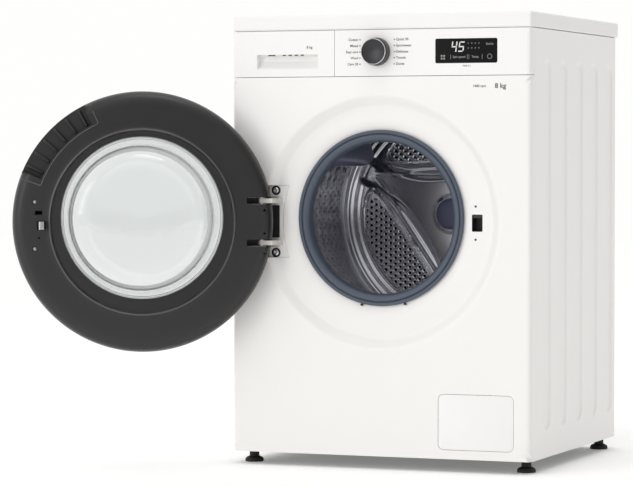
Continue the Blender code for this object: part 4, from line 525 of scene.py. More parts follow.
# %% Casing strip
cabinet_low, cabinet_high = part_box("cabinet")
DEPTH = cabinet_high.y - SHIFT[1]
RIB_DEPTH, RIB_WIDTH, RIB_FIRST, RIB_PITCH = 2.5 * MM, 50 * MM, 74 * MM, 103 * MM
RIB_LOW, RIB_HIGH = 74 * MM, 774 * MM
OPENING_HALF, OPENING_LOW, OPENING_HIGH = 215 * MM, 0.110, 0.690   # rear opening


def rib_press(y, z):
    """How far the wall is pressed in: full inside a stadium shape, fading over its 9 mm rim."""
    press = np.zeros_like(y)
    for k in range(5):
        centre = RIB_FIRST + k * RIB_PITCH + RIB_WIDTH / 2
        dz = np.clip(np.maximum(RIB_LOW + RIB_WIDTH / 2 - z, z - RIB_HIGH + RIB_WIDTH / 2), 0, None)
        inside = RIB_WIDTH / 2 - np.hypot(y - centre, dz)
        press = np.maximum(press, RIB_DEPTH * smooth_step(inside / (9 * MM)))
    return press


def casing_strip():
    """Columns go round the casing, rows go up; returns the points."""
    flange = RETURN + 0.5 * MM
    side = np.linspace(flange, DEPTH, 150)
    rear = np.concatenate([np.linspace(-HALF, -OPENING_HALF, 5)[1:], np.linspace(-OPENING_HALF, OPENING_HALF, 5)[1:],
                           np.linspace(OPENING_HALF, HALF, 5)[1:-1]])
    x = np.concatenate([[-HALF + 16 * MM], np.full(150, -HALF), rear, np.full(150, HALF), [HALF - 16 * MM]])
    y = np.concatenate([[flange], side, np.full(len(rear), DEPTH), side[::-1], [flange]])
    z = np.unique(np.concatenate([[cabinet_low.z, cabinet_high.z, OPENING_LOW, OPENING_HIGH],
                                  np.linspace(RIB_LOW - 4 * MM, RIB_LOW + 34 * MM, 22),
                                  np.linspace(RIB_HIGH - 34 * MM, RIB_HIGH + 4 * MM, 22)]))
    gx, gz = np.meshgrid(x, z)
    gy = np.broadcast_to(y, gx.shape)
    on_side = np.abs(np.abs(gx) - HALF) < 1e-9
    pressed = gx - np.sign(gx) * np.where(on_side, rib_press(gy, gz), 0)
    return np.stack([pressed, gy, gz], -1)


strip = casing_strip()
faces = grid_faces(*strip.shape[:2])
centres = np.array([strip.reshape(-1, 3)[f].mean(0) for f in faces])
behind = (centres[:, 1] > DEPTH - 1e-6) & (np.abs(centres[:, 0]) < OPENING_HALF)
keep = ~(behind & (centres[:, 2] > OPENING_LOW) & (centres[:, 2] < OPENING_HIGH))
skin = mesh_piece("casing_skin", strip, [f for f, k in zip(faces, keep) if k])
right_faces = [p.normal.x for p in skin.data.polygons if p.center.x > SHIFT[0] + HALF - 4 * MM]
if sum(right_faces) < 0:
    skin.data.flip_normals()
wall = skin.modifiers.new("sheet", "SOLIDIFY")
wall.thickness, wall.offset = SHEET, -1.0
settled(skin)
holes = []
INLET_HOLE = (205 * MM, 779 * MM, 14.5 * MM)
DRAIN_HOLE = (250 * MM, 745 * MM, 11.5 * MM)
for x, z, radius in (INLET_HOLE, DRAIN_HOLE):
    holes.append(round_tool(x, z, radius, (DEPTH - 0.01, DEPTH + 0.01), 32))
worked(skin, cuts=holes)
dressed(skin, ENAMEL, "casing", "white_enamel", "cabinet")

# %% [markdown]
# ## Door
# Two moulded rings clamp the glass. The inner ring, seen with the door open, has a rounded rim, one fine
# raised line round the glass, slots for the hinge arms and a ribbed finger recess in its rim. Both rings are
# turned sections; the recess and the slots are cut out of them.

# %% Door rings
RING = 248 * MM
SPLIT = -29.5 * MM
WALL = 2.5 * MM
face_line = np.array([(142, -0.6), (166, -0.4), (171.5, -0.2), (173.0, 1.6), (175.5, 2.2), (178.0, 1.6), (179.5, -0.2),
                      (205, -1.0), (228, -2.0), (236, -4.5), (243, -10), (246.8, -18), (248, -25), (248, -29.5)]) * MM
inner_section = sheet_section(soften(face_line, 2), -WALL)
inner = turned_piece("door_inner_ring", inner_section, 0.0, DOOR_Z, 192, True, swung)
hand = (23, 63)
liner = prism("tool", sector(205 * MM, RING - 1.6 * MM, hand[0] - 0.8, hand[1] + 0.8), (-24.5 * MM, -4 * MM), swung)
recess = prism("tool", sector(207.5 * MM, RING + 12 * MM, *hand), (-22 * MM, 30 * MM), swung)
boss = prism("tool", rounded((HOOK_X - 11 * MM, HOOK_X + 11 * MM), (HOOK_Z - 21 * MM, HOOK_Z + 21 * MM), 3 * MM),
             (-26.5 * MM, -2.2 * MM), swung)
SEAT = 153.8 * MM
glass_hole = round_tool(0.0, DRUM_Z, SEAT, (-0.03, 0.03), 192, swung)
hook_slot = prism("tool", rounded((HOOK_X - 8.5 * MM, HOOK_X + 8.5 * MM), (HOOK_Z - 8.5 * MM, HOOK_Z + 8.5 * MM), 1.5 * MM),
                  (-0.04, 0.02), swung)
ARM_Z, SLOT_HALF = 40 * MM, 6.5 * MM
arm_slots = []
for side in (-1, 1):
    middle = DOOR_Z + side * ARM_Z
    arm_slots.append(prism("tool", rounded((-270 * MM, -198.5 * MM), (middle - SLOT_HALF, middle + SLOT_HALF), 2 * MM),
                           (-0.04, 0.02), swung))
screw_holes = []
LATCH_SIDE = ((203, 38, 4.2), (203, -51, 4.2), (195, -30, 2.0))
HINGE_SIDE = tuple((-232, z, 2.4) for z in (58, 22, -22, -58))
for x, z, radius in LATCH_SIDE + HINGE_SIDE:
    bottom = -12 * MM if x > 0 else -20 * MM
    screw_holes.append(round_tool(x * MM, DOOR_Z + z * MM, radius * MM, (bottom, 0.02), 24, swung))
catch_slot = prism("tool", rounded((HOOK_X - 2 * MM, HOOK_X + 12 * MM), (HOOK_Z + 20 * MM, HOOK_Z + 28 * MM), 1.5 * MM),
                   (-10 * MM, 0.02), swung)
worked(inner, cuts=(recess, glass_hole, hook_slot, catch_slot, *arm_slots, *screw_holes), joins=(liner, boss))
dressed(inner, ABS_SATIN, "door", "black_plastic", "door_inner_frame")

outer_line = np.array([(248, -30), (248, -35), (247, -39), (242, -45), (230, -50), (208, -51), (190, -51), (186, -46.5)]) * MM
outer = turned_piece("door_outer_ring", sheet_section(soften(outer_line, 2), -WALL), 0.0, DOOR_Z, 192, True, swung)
dressed(outer, ABS_SATIN, "door", "black_plastic", "door_outer_frame")

# %% Raised lines on the inner ring
def tube_along(name, path, radius, sides=10, closed=False):
    """A round bead along a path of points: each ring of points stands square to the path."""
    p = np.asarray(path, float)
    ahead = np.roll(p, -1, 0) - np.roll(p, 1, 0)
    if not closed:
        ahead[0], ahead[-1] = p[1] - p[0], p[-1] - p[-2]
    ahead /= np.linalg.norm(ahead, axis=1)[:, None]
    out = np.cross(ahead, (0.0, 1.0, 0.0))
    out /= np.linalg.norm(out, axis=1)[:, None]
    up = np.cross(out, ahead)
    a = np.linspace(0, 2 * pi, sides, endpoint=False)
    rings = p[:, None] + radius * (np.cos(a)[None, :, None] * out[:, None] + np.sin(a)[None, :, None] * up[:, None])
    faces = grid_faces(len(p), sides, closed, True)
    if not closed:
        faces += [list(range(sides)), [(len(p) - 1) * sides + k for k in range(sides)][::-1]]
    return mesh_piece(name, rings, faces)


def on_face(r, angle, y):
    """Points at a radius and an angle (degrees from +x) round the door's axis, at a depth y."""
    a = np.radians(angle)
    return np.stack([r * np.cos(a), y + 0 * a, DOOR_Z + r * np.sin(a)], -1)


spread = np.linspace(hand[0] - 2.5, hand[1] + 2.5, 40)
reach_out = np.linspace(205, 243, 8) * MM
falling = np.interp(reach_out, [205 * MM, 228 * MM, 243 * MM], [-1.2 * MM, -2.2 * MM, -10.0 * MM])
border = np.vstack([on_face(reach_out[::-1], np.full(8, hand[0] - 3.2), falling[::-1]),
                    on_face(np.full(40, 203.5 * MM), spread, np.full(40, -1.0 * MM)),
                    on_face(reach_out, np.full(8, hand[1] + 3.2), falling)])
# Painted highlight: the border of the finger recess is black plastic, coloured lighter to read as a lit edge.
dressed(tube_along("grip_border", swung(border), 0.9 * MM), PAINTED_HIGHLIGHT_PLASTIC, "door", "black_plastic")
circle = np.linspace(0, 360, 240, endpoint=False)
ridge = on_face(np.full(240, 175.5 * MM), circle, np.full(240, 1.2 * MM))
# Painted highlight: the raised line round the glass is black plastic, coloured lighter to read as a lit edge.
dressed(tube_along("glass_ridge", swung(ridge), 1.7 * MM, closed=True), PAINTED_HIGHLIGHT_PLASTIC, "door", "black_plastic")

# %% Finger ribs and door screws
rib_count = 6
ribs, rib_faces = [], []
for k, at in enumerate(np.radians(np.linspace(hand[0] + 3, hand[1] - 3, rib_count))):
    along, across = np.array([cos(at), sin(at)]), np.array([-sin(at), cos(at)])
    corners = [along * r * MM + across * w * MM for r, w in ((208.5, -3.2), (243.5, -3.2), (243.5, 3.2), (208.5, 3.2))]
    for y in (-22.5 * MM, -16.5 * MM):
        ribs += [(c[0], y, DOOR_Z + c[1]) for c in corners]
    n = 8 * k
    rib_faces += [[n, n + 1, n + 2, n + 3], [n + 7, n + 6, n + 5, n + 4]]
    rib_faces += [[n + j, n + (j + 1) % 4, n + 4 + (j + 1) % 4, n + 4 + j] for j in range(4)]
grip = edged(mesh_piece("finger_ribs", swung(np.array(ribs)), rib_faces, False), 2.4 * MM, 3)
dressed(grip, ABS_SATIN, "door", "black_plastic")

for k, (x, z, y) in enumerate(((203, 38, -1.6), (203, -51, -1.6)), 1):
    head = np.array([(0, 0.9), (1.9, 0.8), (3.4, 0.0), (3.6, -1.2), (0, -1.2)]) * MM
    head[:, 1] += y * MM
    screw = turned_piece(f"latch_screw_{k}", soften(head, 1), x * MM, DOOR_Z + z * MM, 32, False, swung)
    dressed(screw, ZINC, "door", "stainless")

# %% [markdown]
# ## Porthole glass
# A bowl pressed in one piece, as thick at the flange as at its nose. Its section is a line of real radii and
# depths, softened, then turned round the drum's axis.

# %% Glass bowl and outer window
bowl_out = np.array([(152.6, -3.8), (150.5, -1.5), (146.0, 4.0), (141.0, 12.0), (138.6, 24.0), (135.2, 44.0),
                     (131.5, 60.0), (127.0, 76.0), (119.0, 88.5), (106.0, 94.2), (88.0, 95.8), (40.0, 96.0), (0.0, 96.0)]) * MM
bowl_in = np.array([(0.0, 91.8), (40.0, 91.8), (86.0, 91.4), (103.0, 89.2), (114.5, 84.5), (122.5, 74.0), (127.2, 59.0),
                    (131.0, 43.0), (134.2, 23.0), (136.6, 10.5), (141.5, 2.0), (148.5, -8.2)]) * MM
flange = np.array([(158.5, -4.0), (158.5, -8.4)]) * MM
glass_line = soften(np.vstack([bowl_out[::-1][1:], flange, bowl_in[::-1][:-1]]), 2)
glass_section = np.vstack([[(0.0, 96.0 * MM)], glass_line, [(0.0, 91.8 * MM)]])
bowl = turned_piece("porthole_glass", glass_section, 0.0, DRUM_Z, 192, False, swung)
dressed(bowl, GLASS, "door", "clear_glass", "door_glass")
EDGE = 185.2
cover_section = np.array([(0, -56.6), (60, -55.9), (110, -54.2), (150, -51.8), (EDGE - 6, -49.6), (EDGE, -46.8),
                          (EDGE, -44.0), (EDGE - 6, -46.4), (150, -48.8), (110, -51.2), (60, -52.9), (0, -53.6)]) * MM
cover_line = np.vstack([cover_section[:1], soften(cover_section, 1)[1:-1], cover_section[-1:]])
window = turned_piece("outer_window", cover_line, 0.0, DOOR_Z, 192, False, swung)
dressed(window, COVER, "door", "clear_glass", "window_cover")

# %% Bright ring round the glass
# A thin trim ring hides the joint between glass and moulding; it catches the light as a bright line.
ring_section = np.array([(150.6, -2.2), (151.4, 0.2), (152.8, 0.6), (153.5, -0.4), (153.5, -2.6), (151.5, -3.2)]) * MM
trim = turned_piece("glass_trim_ring", soften(ring_section, 1, True), 0.0, DRUM_Z, 192, True, swung)
dressed(trim, BRIGHT_STEEL, "door", "stainless")
SEAL = 149.2 * MM
around = np.radians(circle)
seal_circle = np.stack([SEAL * np.cos(around), np.full(240, 0.4 * MM), DRUM_Z + SEAL * np.sin(around)], -1)
dressed(tube_along("glass_seal_line", swung(seal_circle), 0.45 * MM, 8, True), FOOT_RUBBER, "door", "black_rubber")

# %% [markdown]
# ## Gasket
# The rubber folds from the casing's mouth to the tub: a rounded front bead with a groove, a lip that meets
# the glass, and a bellows behind it that lets the tub move.

# %% Gasket
gasket_line = np.array([(165.8, 11.4), (166.6, 8.2), (165.6, 5.4), (163.2, 4.2), (160.6, 5.2), (159.3, 6.8), (158.7, 8.4),
                        (158.1, 6.8), (156.6, 5.4), (152.0, 5.4), (147.6, 7.8), (144.6, 13.0), (143.2, 22.0), (143.4, 27.0), (146.0, 31.0), (153.0, 33.0), (154.0, 44.0),
                        (166.0, 49.0), (168.0, 58.0), (160.5, 64.0), (162.0, 74.6), (179.0, 75.0)]) * MM
gasket = turned_piece("gasket_rubber", sheet_section(soften(gasket_line, 2), -1.8 * MM), 0.0, DRUM_Z, 192)
dressed(gasket, GASKET_RUBBER, "casing", "gasket_rubber", "gasket")

# %% [markdown]
# ## Drum
# The back wall is one deep-drawn plate: three smooth arms meet at a plastic hub cap, and between them lie
# three raised, pierced panels, each bounded by an arc and a chord. The height rule adds these up over a polar grid.

# %% Drum back wall
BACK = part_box("drum_back")[0].y - SHIFT[1] - 0.2 * MM
DRUM = 238.2 * MM
ARMS = (34.6, 154.6, 274.6)
PANEL_ARC, PANEL_CHORD = 198 * MM, 103 * MM


def back_height(x, z):
    """How far the plate stands towards the door, and where it is pierced."""
    r = np.hypot(x, z)
    height = 3 * MM * (np.exp(-((r - 0.208) / 0.004) ** 2) + np.exp(-((r - 0.222) / 0.004) ** 2))
    height += 8 * MM * smooth_step((r - 0.226) / 0.012)
    pierced, gaps = np.zeros_like(r), []
    for arm in ARMS:
        a = radians(arm + 60)
        out = x * cos(a) + z * sin(a)
        inside = -18 * MM * np.log(np.exp((r - PANEL_ARC) / (18 * MM)) + np.exp((PANEL_CHORD - out) / (18 * MM)))
        height += 5 * MM * smooth_step(inside / (5 * MM)) + 1.4 * MM * np.exp(-((inside - 4 * MM) / (2.2 * MM)) ** 2)
        height += 2.5 * MM * np.exp(-((inside + 12 * MM) / (4 * MM)) ** 2) * smooth_step((0.195 - r) / 0.02)
        pierced = np.maximum(pierced, smooth_step((inside - 9 * MM) / (1.0 * MM)))
        b = radians(arm)
        along, across = x * cos(b) + z * sin(b), -x * sin(b) + z * cos(b)
        gaps.append(np.where(along > 0, np.abs(across), r))
    body = -42 * MM * np.log(sum(np.exp(-gap / (42 * MM)) for gap in gaps))
    height += 13 * MM * smooth_step((30 * MM - body) / (16 * MM)) * smooth_step((0.222 - r) / 0.03)
    hub = 3 * MM * smooth_step((40 * MM - r) / (6 * MM))
    return height + hub, pierced


def polar_plate(name, radius, centre_z, y, rings, steps, height_rule):
    """A plate on a polar grid facing the door; y = plate - height(x, z)."""
    r = radius * np.linspace(0, 1, rings)[:, None]
    a = np.linspace(0, 2 * pi, steps, endpoint=False)[None, :]
    x, z = r * np.cos(a), r * np.sin(a)
    height, mask = height_rule(x, z)
    points = np.stack([x, y - height, centre_z + z], -1)
    mesh = bpy.data.meshes.new(name)
    mesh.from_pydata(casing(points).reshape(-1, 3).tolist(), [], grid_faces(rings, steps, round_columns=True))
    mask_layer = mesh.attributes.new("pierced", "FLOAT", "POINT")
    mask_layer.data.foreach_set("value", mask.reshape(-1).astype(np.float32))
    piece = bpy.data.objects.new(name, mesh)
    bpy.context.scene.collection.objects.link(piece)
    bm = bmesh.new()
    bm.from_mesh(mesh)
    bmesh.ops.remove_doubles(bm, verts=bm.verts, dist=0.01 * MM)
    bm.normal_update()
    if sum(f.normal.y for f in bm.faces) > 0:
        bmesh.ops.reverse_faces(bm, faces=bm.faces)
    bm.to_mesh(mesh)
    bm.free()
    mesh.shade_smooth()
    wall = piece.modifiers.new("plate", "SOLIDIFY")
    wall.thickness, wall.offset = 1.2 * MM, -1.0
    return settled(piece)


plate = polar_plate("drum_back_plate", DRUM, DRUM_Z, BACK, 130, 300, back_height)
dressed(plate, DRUM_BACK_STEEL, "drum", "stainless", "drum_back")
hub_section = np.array([(0, 0), (26, 0.2), (30, 1.2), (32, 3.5), (32, 6.5), (0, 6.5)]) * MM
hub_section[:, 1] += BACK - 19.5 * MM
hub = turned_piece("drum_hub_cap", soften(hub_section, 1), 0.0, DRUM_Z, 96, False)
dressed(hub, LIFTER_PLASTIC, "drum", "stainless")

# %% [markdown]
# The cylinder is embossed with small diamonds, which keep the laundry from sticking and make the steel
# sparkle. Two crossing waves round the wall give that relief; the holes are dark dots of painted shade on the
# arc-length map.

# %% Drum wall
FRONT_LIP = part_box("drum_shell")[0].y - SHIFT[1]
DIAMOND = 2 * pi * DRUM / 46


def drum_wall():
    """Columns go round, rows go from the back edge to the rolled lip at the drum's mouth."""
    a = np.linspace(0, 2 * pi, 401)[None, :]
    y = np.linspace(BACK - 1.0 * MM, FRONT_LIP + 22 * MM, 80)[:, None]
    u, v = a * DRUM, y
    relief = 2.0 * MM * np.maximum(0, np.cos(pi * (u + v) / DIAMOND) * np.cos(pi * (u - v) / DIAMOND)) ** 0.7
    edge = smooth_step((BACK - 16 * MM - y) / (5 * MM)) * smooth_step((y - FRONT_LIP - 28 * MM) / (6 * MM))
    rim = 3 * MM * np.exp(-((y - BACK + 9 * MM) / (3 * MM)) ** 2)
    r = DRUM - relief * edge - rim
    lip = soften(np.array([(236.5, 18), (234, 9), (226, 4.5), (214, 3), (186, 2.2), (183, 0.8), (181.2, 2.4), (182, 5.2),
                           (186, 6.0)]) * MM, 2)
    r = np.vstack([r, np.broadcast_to(lip[:, :1], (len(lip), a.size))])
    y = np.vstack([np.broadcast_to(y, (80, a.size)), np.broadcast_to(FRONT_LIP + lip[:, 1:], (len(lip), a.size))])
    hole = np.vstack([np.broadcast_to(edge, (80, a.size)), np.zeros((len(lip), a.size))])
    return np.stack([r * np.cos(a), y, DRUM_Z + r * np.sin(a)], -1), hole, np.broadcast_to(a * DRUM, r.shape), y


wall_points, wall_holes, arc_u, arc_v = drum_wall()
drum_faces = grid_faces(*wall_points.shape[:2])
drum_mesh = bpy.data.meshes.new("drum_wall")
drum_mesh.from_pydata(casing(wall_points).reshape(-1, 3).tolist(), [], drum_faces)
drum_mesh.attributes.new("pierced", "FLOAT", "POINT").data.foreach_set("value", wall_holes.reshape(-1).astype(np.float32))
arc_map = drum_mesh.uv_layers.new(name="arc")
loops = np.zeros(len(drum_mesh.loops), int)
drum_mesh.loops.foreach_get("vertex_index", loops)
arc_map.data.foreach_set("uv", np.stack([arc_u.reshape(-1)[loops], arc_v.reshape(-1)[loops]], -1).reshape(-1).astype(np.float32))
drum_wall_piece = bpy.data.objects.new("drum_wall", drum_mesh)
bpy.context.scene.collection.objects.link(drum_wall_piece)
middle = Vector((SHIFT[0], 0, DRUM_Z))
if sum((p.center.x - middle.x) * p.normal.x + (p.center.z - middle.z) * p.normal.z for p in drum_mesh.polygons) > 0:
    drum_mesh.flip_normals()
bm = bmesh.new()
bm.from_mesh(drum_mesh)
bmesh.ops.remove_doubles(bm, verts=bm.verts, dist=0.01 * MM)
bm.to_mesh(drum_mesh)
bm.free()
wall = drum_wall_piece.modifiers.new("wall", "SOLIDIFY")
wall.thickness, wall.offset = 1.0 * MM, -1.0
settled(drum_wall_piece)
dressed(drum_wall_piece, DRUM_WALL_STEEL, "drum", "stainless", "drum_shell")

# %% [markdown]
# ## Lifters
# Three hollow plastic lifters carry the laundry up. A bell curve across the lifter, faded at both ends, is
# its height above the wall; the bottom is closed with the same outline lying on the wall.

# %% Smooth lifters
def lifter(name, node, angle):
    """A grid along and across one lifter; radius = wall - height, height = 51 mm * bell * ends."""
    t = np.linspace(0, 1, 61)[:, None]
    w = np.linspace(-1, 1, 41)[None, :]
    start, stop = np.clip(t / 0.14, 0, 1), np.clip((1 - t) / 0.14, 0, 1)
    ends = (start * (2 - start) * stop * (2 - stop)) ** 0.7
    bell = np.clip(1 - np.abs(w) ** 2.4, 0, 1) ** 0.85
    height = 51 * MM * ends * bell
    half = 34 * MM * (0.80 + 0.20 * ends)
    y = LIFTER_FRONT + LIFTER_REACH * t + 0 * w
    top = np.stack([half * w, y, DRUM - 3.4 * MM - height], -1)
    low = np.stack([half * w, y, DRUM - 3.2 * MM + 0 * height], -1)
    points = np.concatenate([top, low[:, ::-1]], 1)
    faces = grid_faces(61, 82, round_columns=True)
    for row in (0, 60):
        ring = [row * 82 + k for k in range(82)]
        faces.append(ring if row else ring[::-1])
    a = radians(90 - angle)
    x, r = points[..., 0] * cos(a) + points[..., 2] * sin(a), -points[..., 0] * sin(a) + points[..., 2] * cos(a)
    piece = mesh_piece(name, np.stack([x, points[..., 1], DRUM_Z + r], -1), faces)
    dressed(piece, LIFTER_PLASTIC, "drum", "grey_plastic", node)


LIFTER_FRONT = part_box("lifter_1")[0].y - SHIFT[1]
LIFTER_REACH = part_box("lifter_1")[1].y - SHIFT[1] - LIFTER_FRONT
for k in (1, 2, 3):
    low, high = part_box(f"lifter_{k}")
    angle = atan2((low.z + high.z) / 2 - DRUM_Z, (low.x + high.x) / 2 - SHIFT[0])
    lifter(f"lifter_smooth_{k}", f"lifter_{k}", degrees(angle))

# %% [markdown]
# ## Knob
# A black knob with a face turned in fine circles round its middle, a bright ring round the face and a
# knurled skirt. A sawtooth in the angle gives the skirt its grip; the ring is a turned piece of its own.

# %% Knob
KNOB_X, KNOB_Z = joints["knob_turn"]["pos_m"][0] - SHIFT[0], joints["knob_turn"]["pos_m"][2]
knob_line = np.array([(0, -20.6), (10, -20.7), (20.5, -21.0), (22.6, -21.9), (23.6, -21.6), (23.9, -18.4), (25.6, -17.6),
                      (26.0, -10), (26.6, -3),
                      (26.6, -0.6), (22, -0.6), (22, -15), (0, -15)]) * MM
knob_points = turned_points(soften(knob_line, 2), KNOB_X, KNOB_Z, 240)
turn = np.arange(240)[:, None] * 2 * pi / 240
out = knob_points[..., [0, 2]] - [KNOB_X, KNOB_Z]
radius = np.hypot(out[..., 0], out[..., 1])
skirt = (radius > 25.2 * MM) * 0.25 * MM * np.cos(60 * turn)
knob_points[..., [0, 2]] += out * (skirt / np.maximum(radius, 1e-6))[..., None]
knob = mesh_piece("programme_knob_cap", knob_points, grid_faces(240, knob_points.shape[1], True))


def spun_finish(name, colour, roughness, centre):
    """Spun metal or plastic: very fine circles round a centre, so the light falls in two bright fans."""
    material, tree, shader = start_finish(name, colour, roughness, 0.75)
    place = add(tree, "ShaderNodeTexCoord")
    moved = add(tree, "ShaderNodeMapping", {"Vector": place.outputs["Object"]}, Location=tuple(-c for c in centre))
    rings = add(tree, "ShaderNodeVectorMath", {0: moved.outputs["Vector"]}, {"operation": "LENGTH"})
    fine = add(tree, "ShaderNodeTexNoise", {"W": rings.outputs["Value"]}, {"noise_dimensions": "1D"}, Scale=3000.0, Detail=2.0)
    relief = add(tree, "ShaderNodeBump", {"Height": fine.outputs["Fac"]}, Strength=0.35, Distance=0.1 * MM)
    tree.links.new(relief.outputs["Normal"], shader.inputs["Normal"])
    shader.inputs["Anisotropic"].default_value = 0.7
    tangent = add(tree, "ShaderNodeTangent", (), {"direction_type": "RADIAL", "axis": "Y"})
    tree.links.new(tangent.outputs["Tangent"], shader.inputs["Tangent"])
    return material


SPUN_BLACK = spun_finish("spun_black", "#3A3A3D", 0.28, (KNOB_X + SHIFT[0], 0.0 + SHIFT[1], KNOB_Z))
dressed(knob, SKIRT_PLASTIC, "knob", "black_plastic", "programme_knob")
face_section = np.array([(0, -20.9), (21.5, -21.2), (22.2, -21.6), (22.4, -20.6), (0, -20.2)]) * MM
knob_face = turned_piece("knob_face", face_section, KNOB_X, KNOB_Z, 120, False)
dressed(knob_face, SPUN_BLACK, "knob", "black_plastic")
bezel_section = np.array([(23.3, -21.9), (23.9, -22.2), (24.4, -21.6), (24.5, -18.6), (23.6, -18.4), (23.3, -19.0)]) * MM
bezel = turned_piece("knob_bezel", soften(bezel_section, 2, True), KNOB_X, KNOB_Z, 120)
dressed(bezel, BRIGHT_STEEL, "knob", "stainless", "knob_ring")


# %% [markdown]
# ## Print and display
# Programme names are plain words set beside the knob, each with a dot. Text starts as a curve; it becomes a
# mesh before its place is applied. The figures behind the window are seven bars each.

# %% Lettering
def lettering(name, words, x, z, size, align, material, y=-0.12 * MM):
    """A line of text lying on the front face, its letters facing the viewer."""
    curve = bpy.data.curves.new(name, "FONT")
    curve.body, curve.size, curve.align_x, curve.align_y = words, size, align, "CENTER"
    curve.extrude, curve.offset = 0.04 * MM, size / 60
    curve.resolution_u = 3
    text = bpy.data.objects.new(name, curve)
    bpy.context.scene.collection.objects.link(text)
    bpy.context.view_layer.update()
    mesh = bpy.data.meshes.new_from_object(text.evaluated_get(bpy.context.evaluated_depsgraph_get()))
    bpy.data.objects.remove(text, do_unlink=True)
    mesh.transform(Matrix.Translation(Vector(casing((x, y, z)))) @ Matrix.Rotation(pi / 2, 4, "X"))
    piece = bpy.data.objects.new(name, mesh)
    bpy.context.scene.collection.objects.link(piece)
    return dressed(piece, material, "casing")


def dots(name, places, radius, y=(-0.10 * MM, 0.05 * MM)):
    """Small printed discs as one piece."""
    a = np.linspace(0, 2 * pi, 12, endpoint=False)
    points, faces = [], []
    for x, z in places:
        n = len(points)
        points += [(x + radius * cos(t), level, z + radius * sin(t)) for level in y for t in a]
        faces += [[n + k for k in range(12)], [n + 23 - k for k in range(12)]]
        faces += [[n + k, n + (k + 1) % 12, n + 12 + (k + 1) % 12, n + 12 + k] for k in range(12)]
    return mesh_piece(name, np.array(points), faces, False)


ROW, LETTER = 11.5 * MM, 6.6 * MM
left_words = ("Cotton", "Mixed", "Easy care", "Wool", "Care 30")
right_words = ("Quick 30", "Sportswear", "Delicates", "Towels", "Duvet")
marks = []
for k, (left, right) in enumerate(zip(left_words, right_words)):
    z = KNOB_Z + (2 - k) * ROW
    lettering(f"print_left_{k + 1}", left, KNOB_X - 38 * MM, z, LETTER, "RIGHT", GREY_PRINT)
    lettering(f"print_right_{k + 1}", right, KNOB_X + 38 * MM, z, LETTER, "LEFT", GREY_PRINT)
    marks += [(KNOB_X - 34.5 * MM, z), (KNOB_X + 34.5 * MM, z)]
dressed(dots("programme_dots", marks, 1.3 * MM), GREY_PRINT, "casing")
lettering("print_load_drawer", "8 kg", -141 * MM, 797 * MM, 7.0 * MM, "CENTER", GREY_PRINT)
lettering("print_load", "8 kg", 240 * MM, 721 * MM, 13 * MM, "CENTER", GREY_PRINT)
lettering("print_speed", "1400 rpm", 199 * MM, 721 * MM, 6.6 * MM, "CENTER", GREY_PRINT)

# %% Display
WX, WZ = (112 * MM, 234 * MM), (764 * MM, 810 * MM)


def bars(name, rectangles, y=(-0.32 * MM, -0.15 * MM)):
    """Thin raised rectangles (x0, z0, x1, z1) as one piece."""
    points, faces = [], []
    for x0, z0, x1, z1 in rectangles:
        n = len(points)
        points += [(x, level, z) for level in y for x, z in ((x0, z0), (x1, z0), (x1, z1), (x0, z1))]
        faces += [[n, n + 1, n + 2, n + 3], [n + 7, n + 6, n + 5, n + 4]]
        faces += [[n + k, n + (k + 1) % 4, n + 4 + (k + 1) % 4, n + 4 + k] for k in range(4)]
    return mesh_piece(name, np.array(points), faces, False)


SEGMENTS = {"4": "bcfg", "5": "acdfg"}


def figure(character, x, z, width, height, stroke):
    """The lit bars of one seven-bar figure, its lower left corner at x, z."""
    half = height / 2
    shapes = {"a": (x, z + height - stroke, x + width, z + height), "g": (x, z + half - stroke / 2, x + width, z + half + stroke / 2),
              "d": (x, z, x + width, z + stroke), "f": (x, z + half, x + stroke, z + height), "e": (x, z, x + stroke, z + half),
              "b": (x + width - stroke, z + half, x + width, z + height), "c": (x + width - stroke, z, x + width, z + half)}
    return [shapes[s] for s in SEGMENTS[character]]


LEAN = 0.14
lit = []
for k, character in enumerate("45"):
    lit += figure(character, WX[0] + (31 + 14 * k) * MM, WZ[0] + 21 * MM, 10.5 * MM, 19 * MM, 2.1 * MM)
figures = bars("display_figures", lit)
figures.data.transform(Matrix(((1, 0, LEAN, -LEAN * (WZ[0] + 21 * MM)), (0, 1, 0, 0), (0, 0, 1, 0), (0, 0, 0, 1))))
dressed(figures, WHITE_PRINT, "casing")
faint = []
for x in (30, 63, 66, 92):
    faint.append((WX[0] + x * MM, WZ[0] + 7 * MM, WX[0] + (x + 0.7) * MM, WZ[0] + 16 * MM))
for x in (11, 16):
    for z in (7, 12):
        faint.append((WX[0] + x * MM, WZ[0] + z * MM, WX[0] + (x + 3.4) * MM, WZ[0] + (z + 3.4) * MM))
for x in (64, 71, 78, 85):
    for z in (27, 36):
        faint.append((WX[0] + x * MM, WZ[0] + z * MM, WX[0] + (x + 2) * MM, WZ[0] + (z + 1.6) * MM))
dressed(bars("display_icons", faint), FAINT_PRINT, "casing")
lettering("print_spin", "Spin speed", WX[0] + 47 * MM, WZ[0] + 11.5 * MM, 5.8 * MM, "CENTER", FAINT_PRINT, -0.35 * MM)
lettering("print_temp", "Temp.", WX[0] + 79 * MM, WZ[0] + 11.5 * MM, 5.8 * MM, "CENTER", FAINT_PRINT, -0.35 * MM)
lettering("print_end", "End in", WX[0] + 107 * MM, WZ[0] + 35 * MM, 5.8 * MM, "CENTER", FAINT_PRINT, -0.35 * MM)
lettering("print_hold", "Hold 3 s", WX[0] + 62 * MM, WZ[0] - 5 * MM, 4.4 * MM, "CENTER", GREY_PRINT)
start_ring = np.array([(3.9, -0.32), (4.8, -0.32), (4.8, -0.15), (3.9, -0.15)]) * MM
dressed(turned_piece("start_ring", start_ring, WX[0] + 107 * MM, WZ[0] + 12 * MM, 48), FAINT_PRINT, "casing")
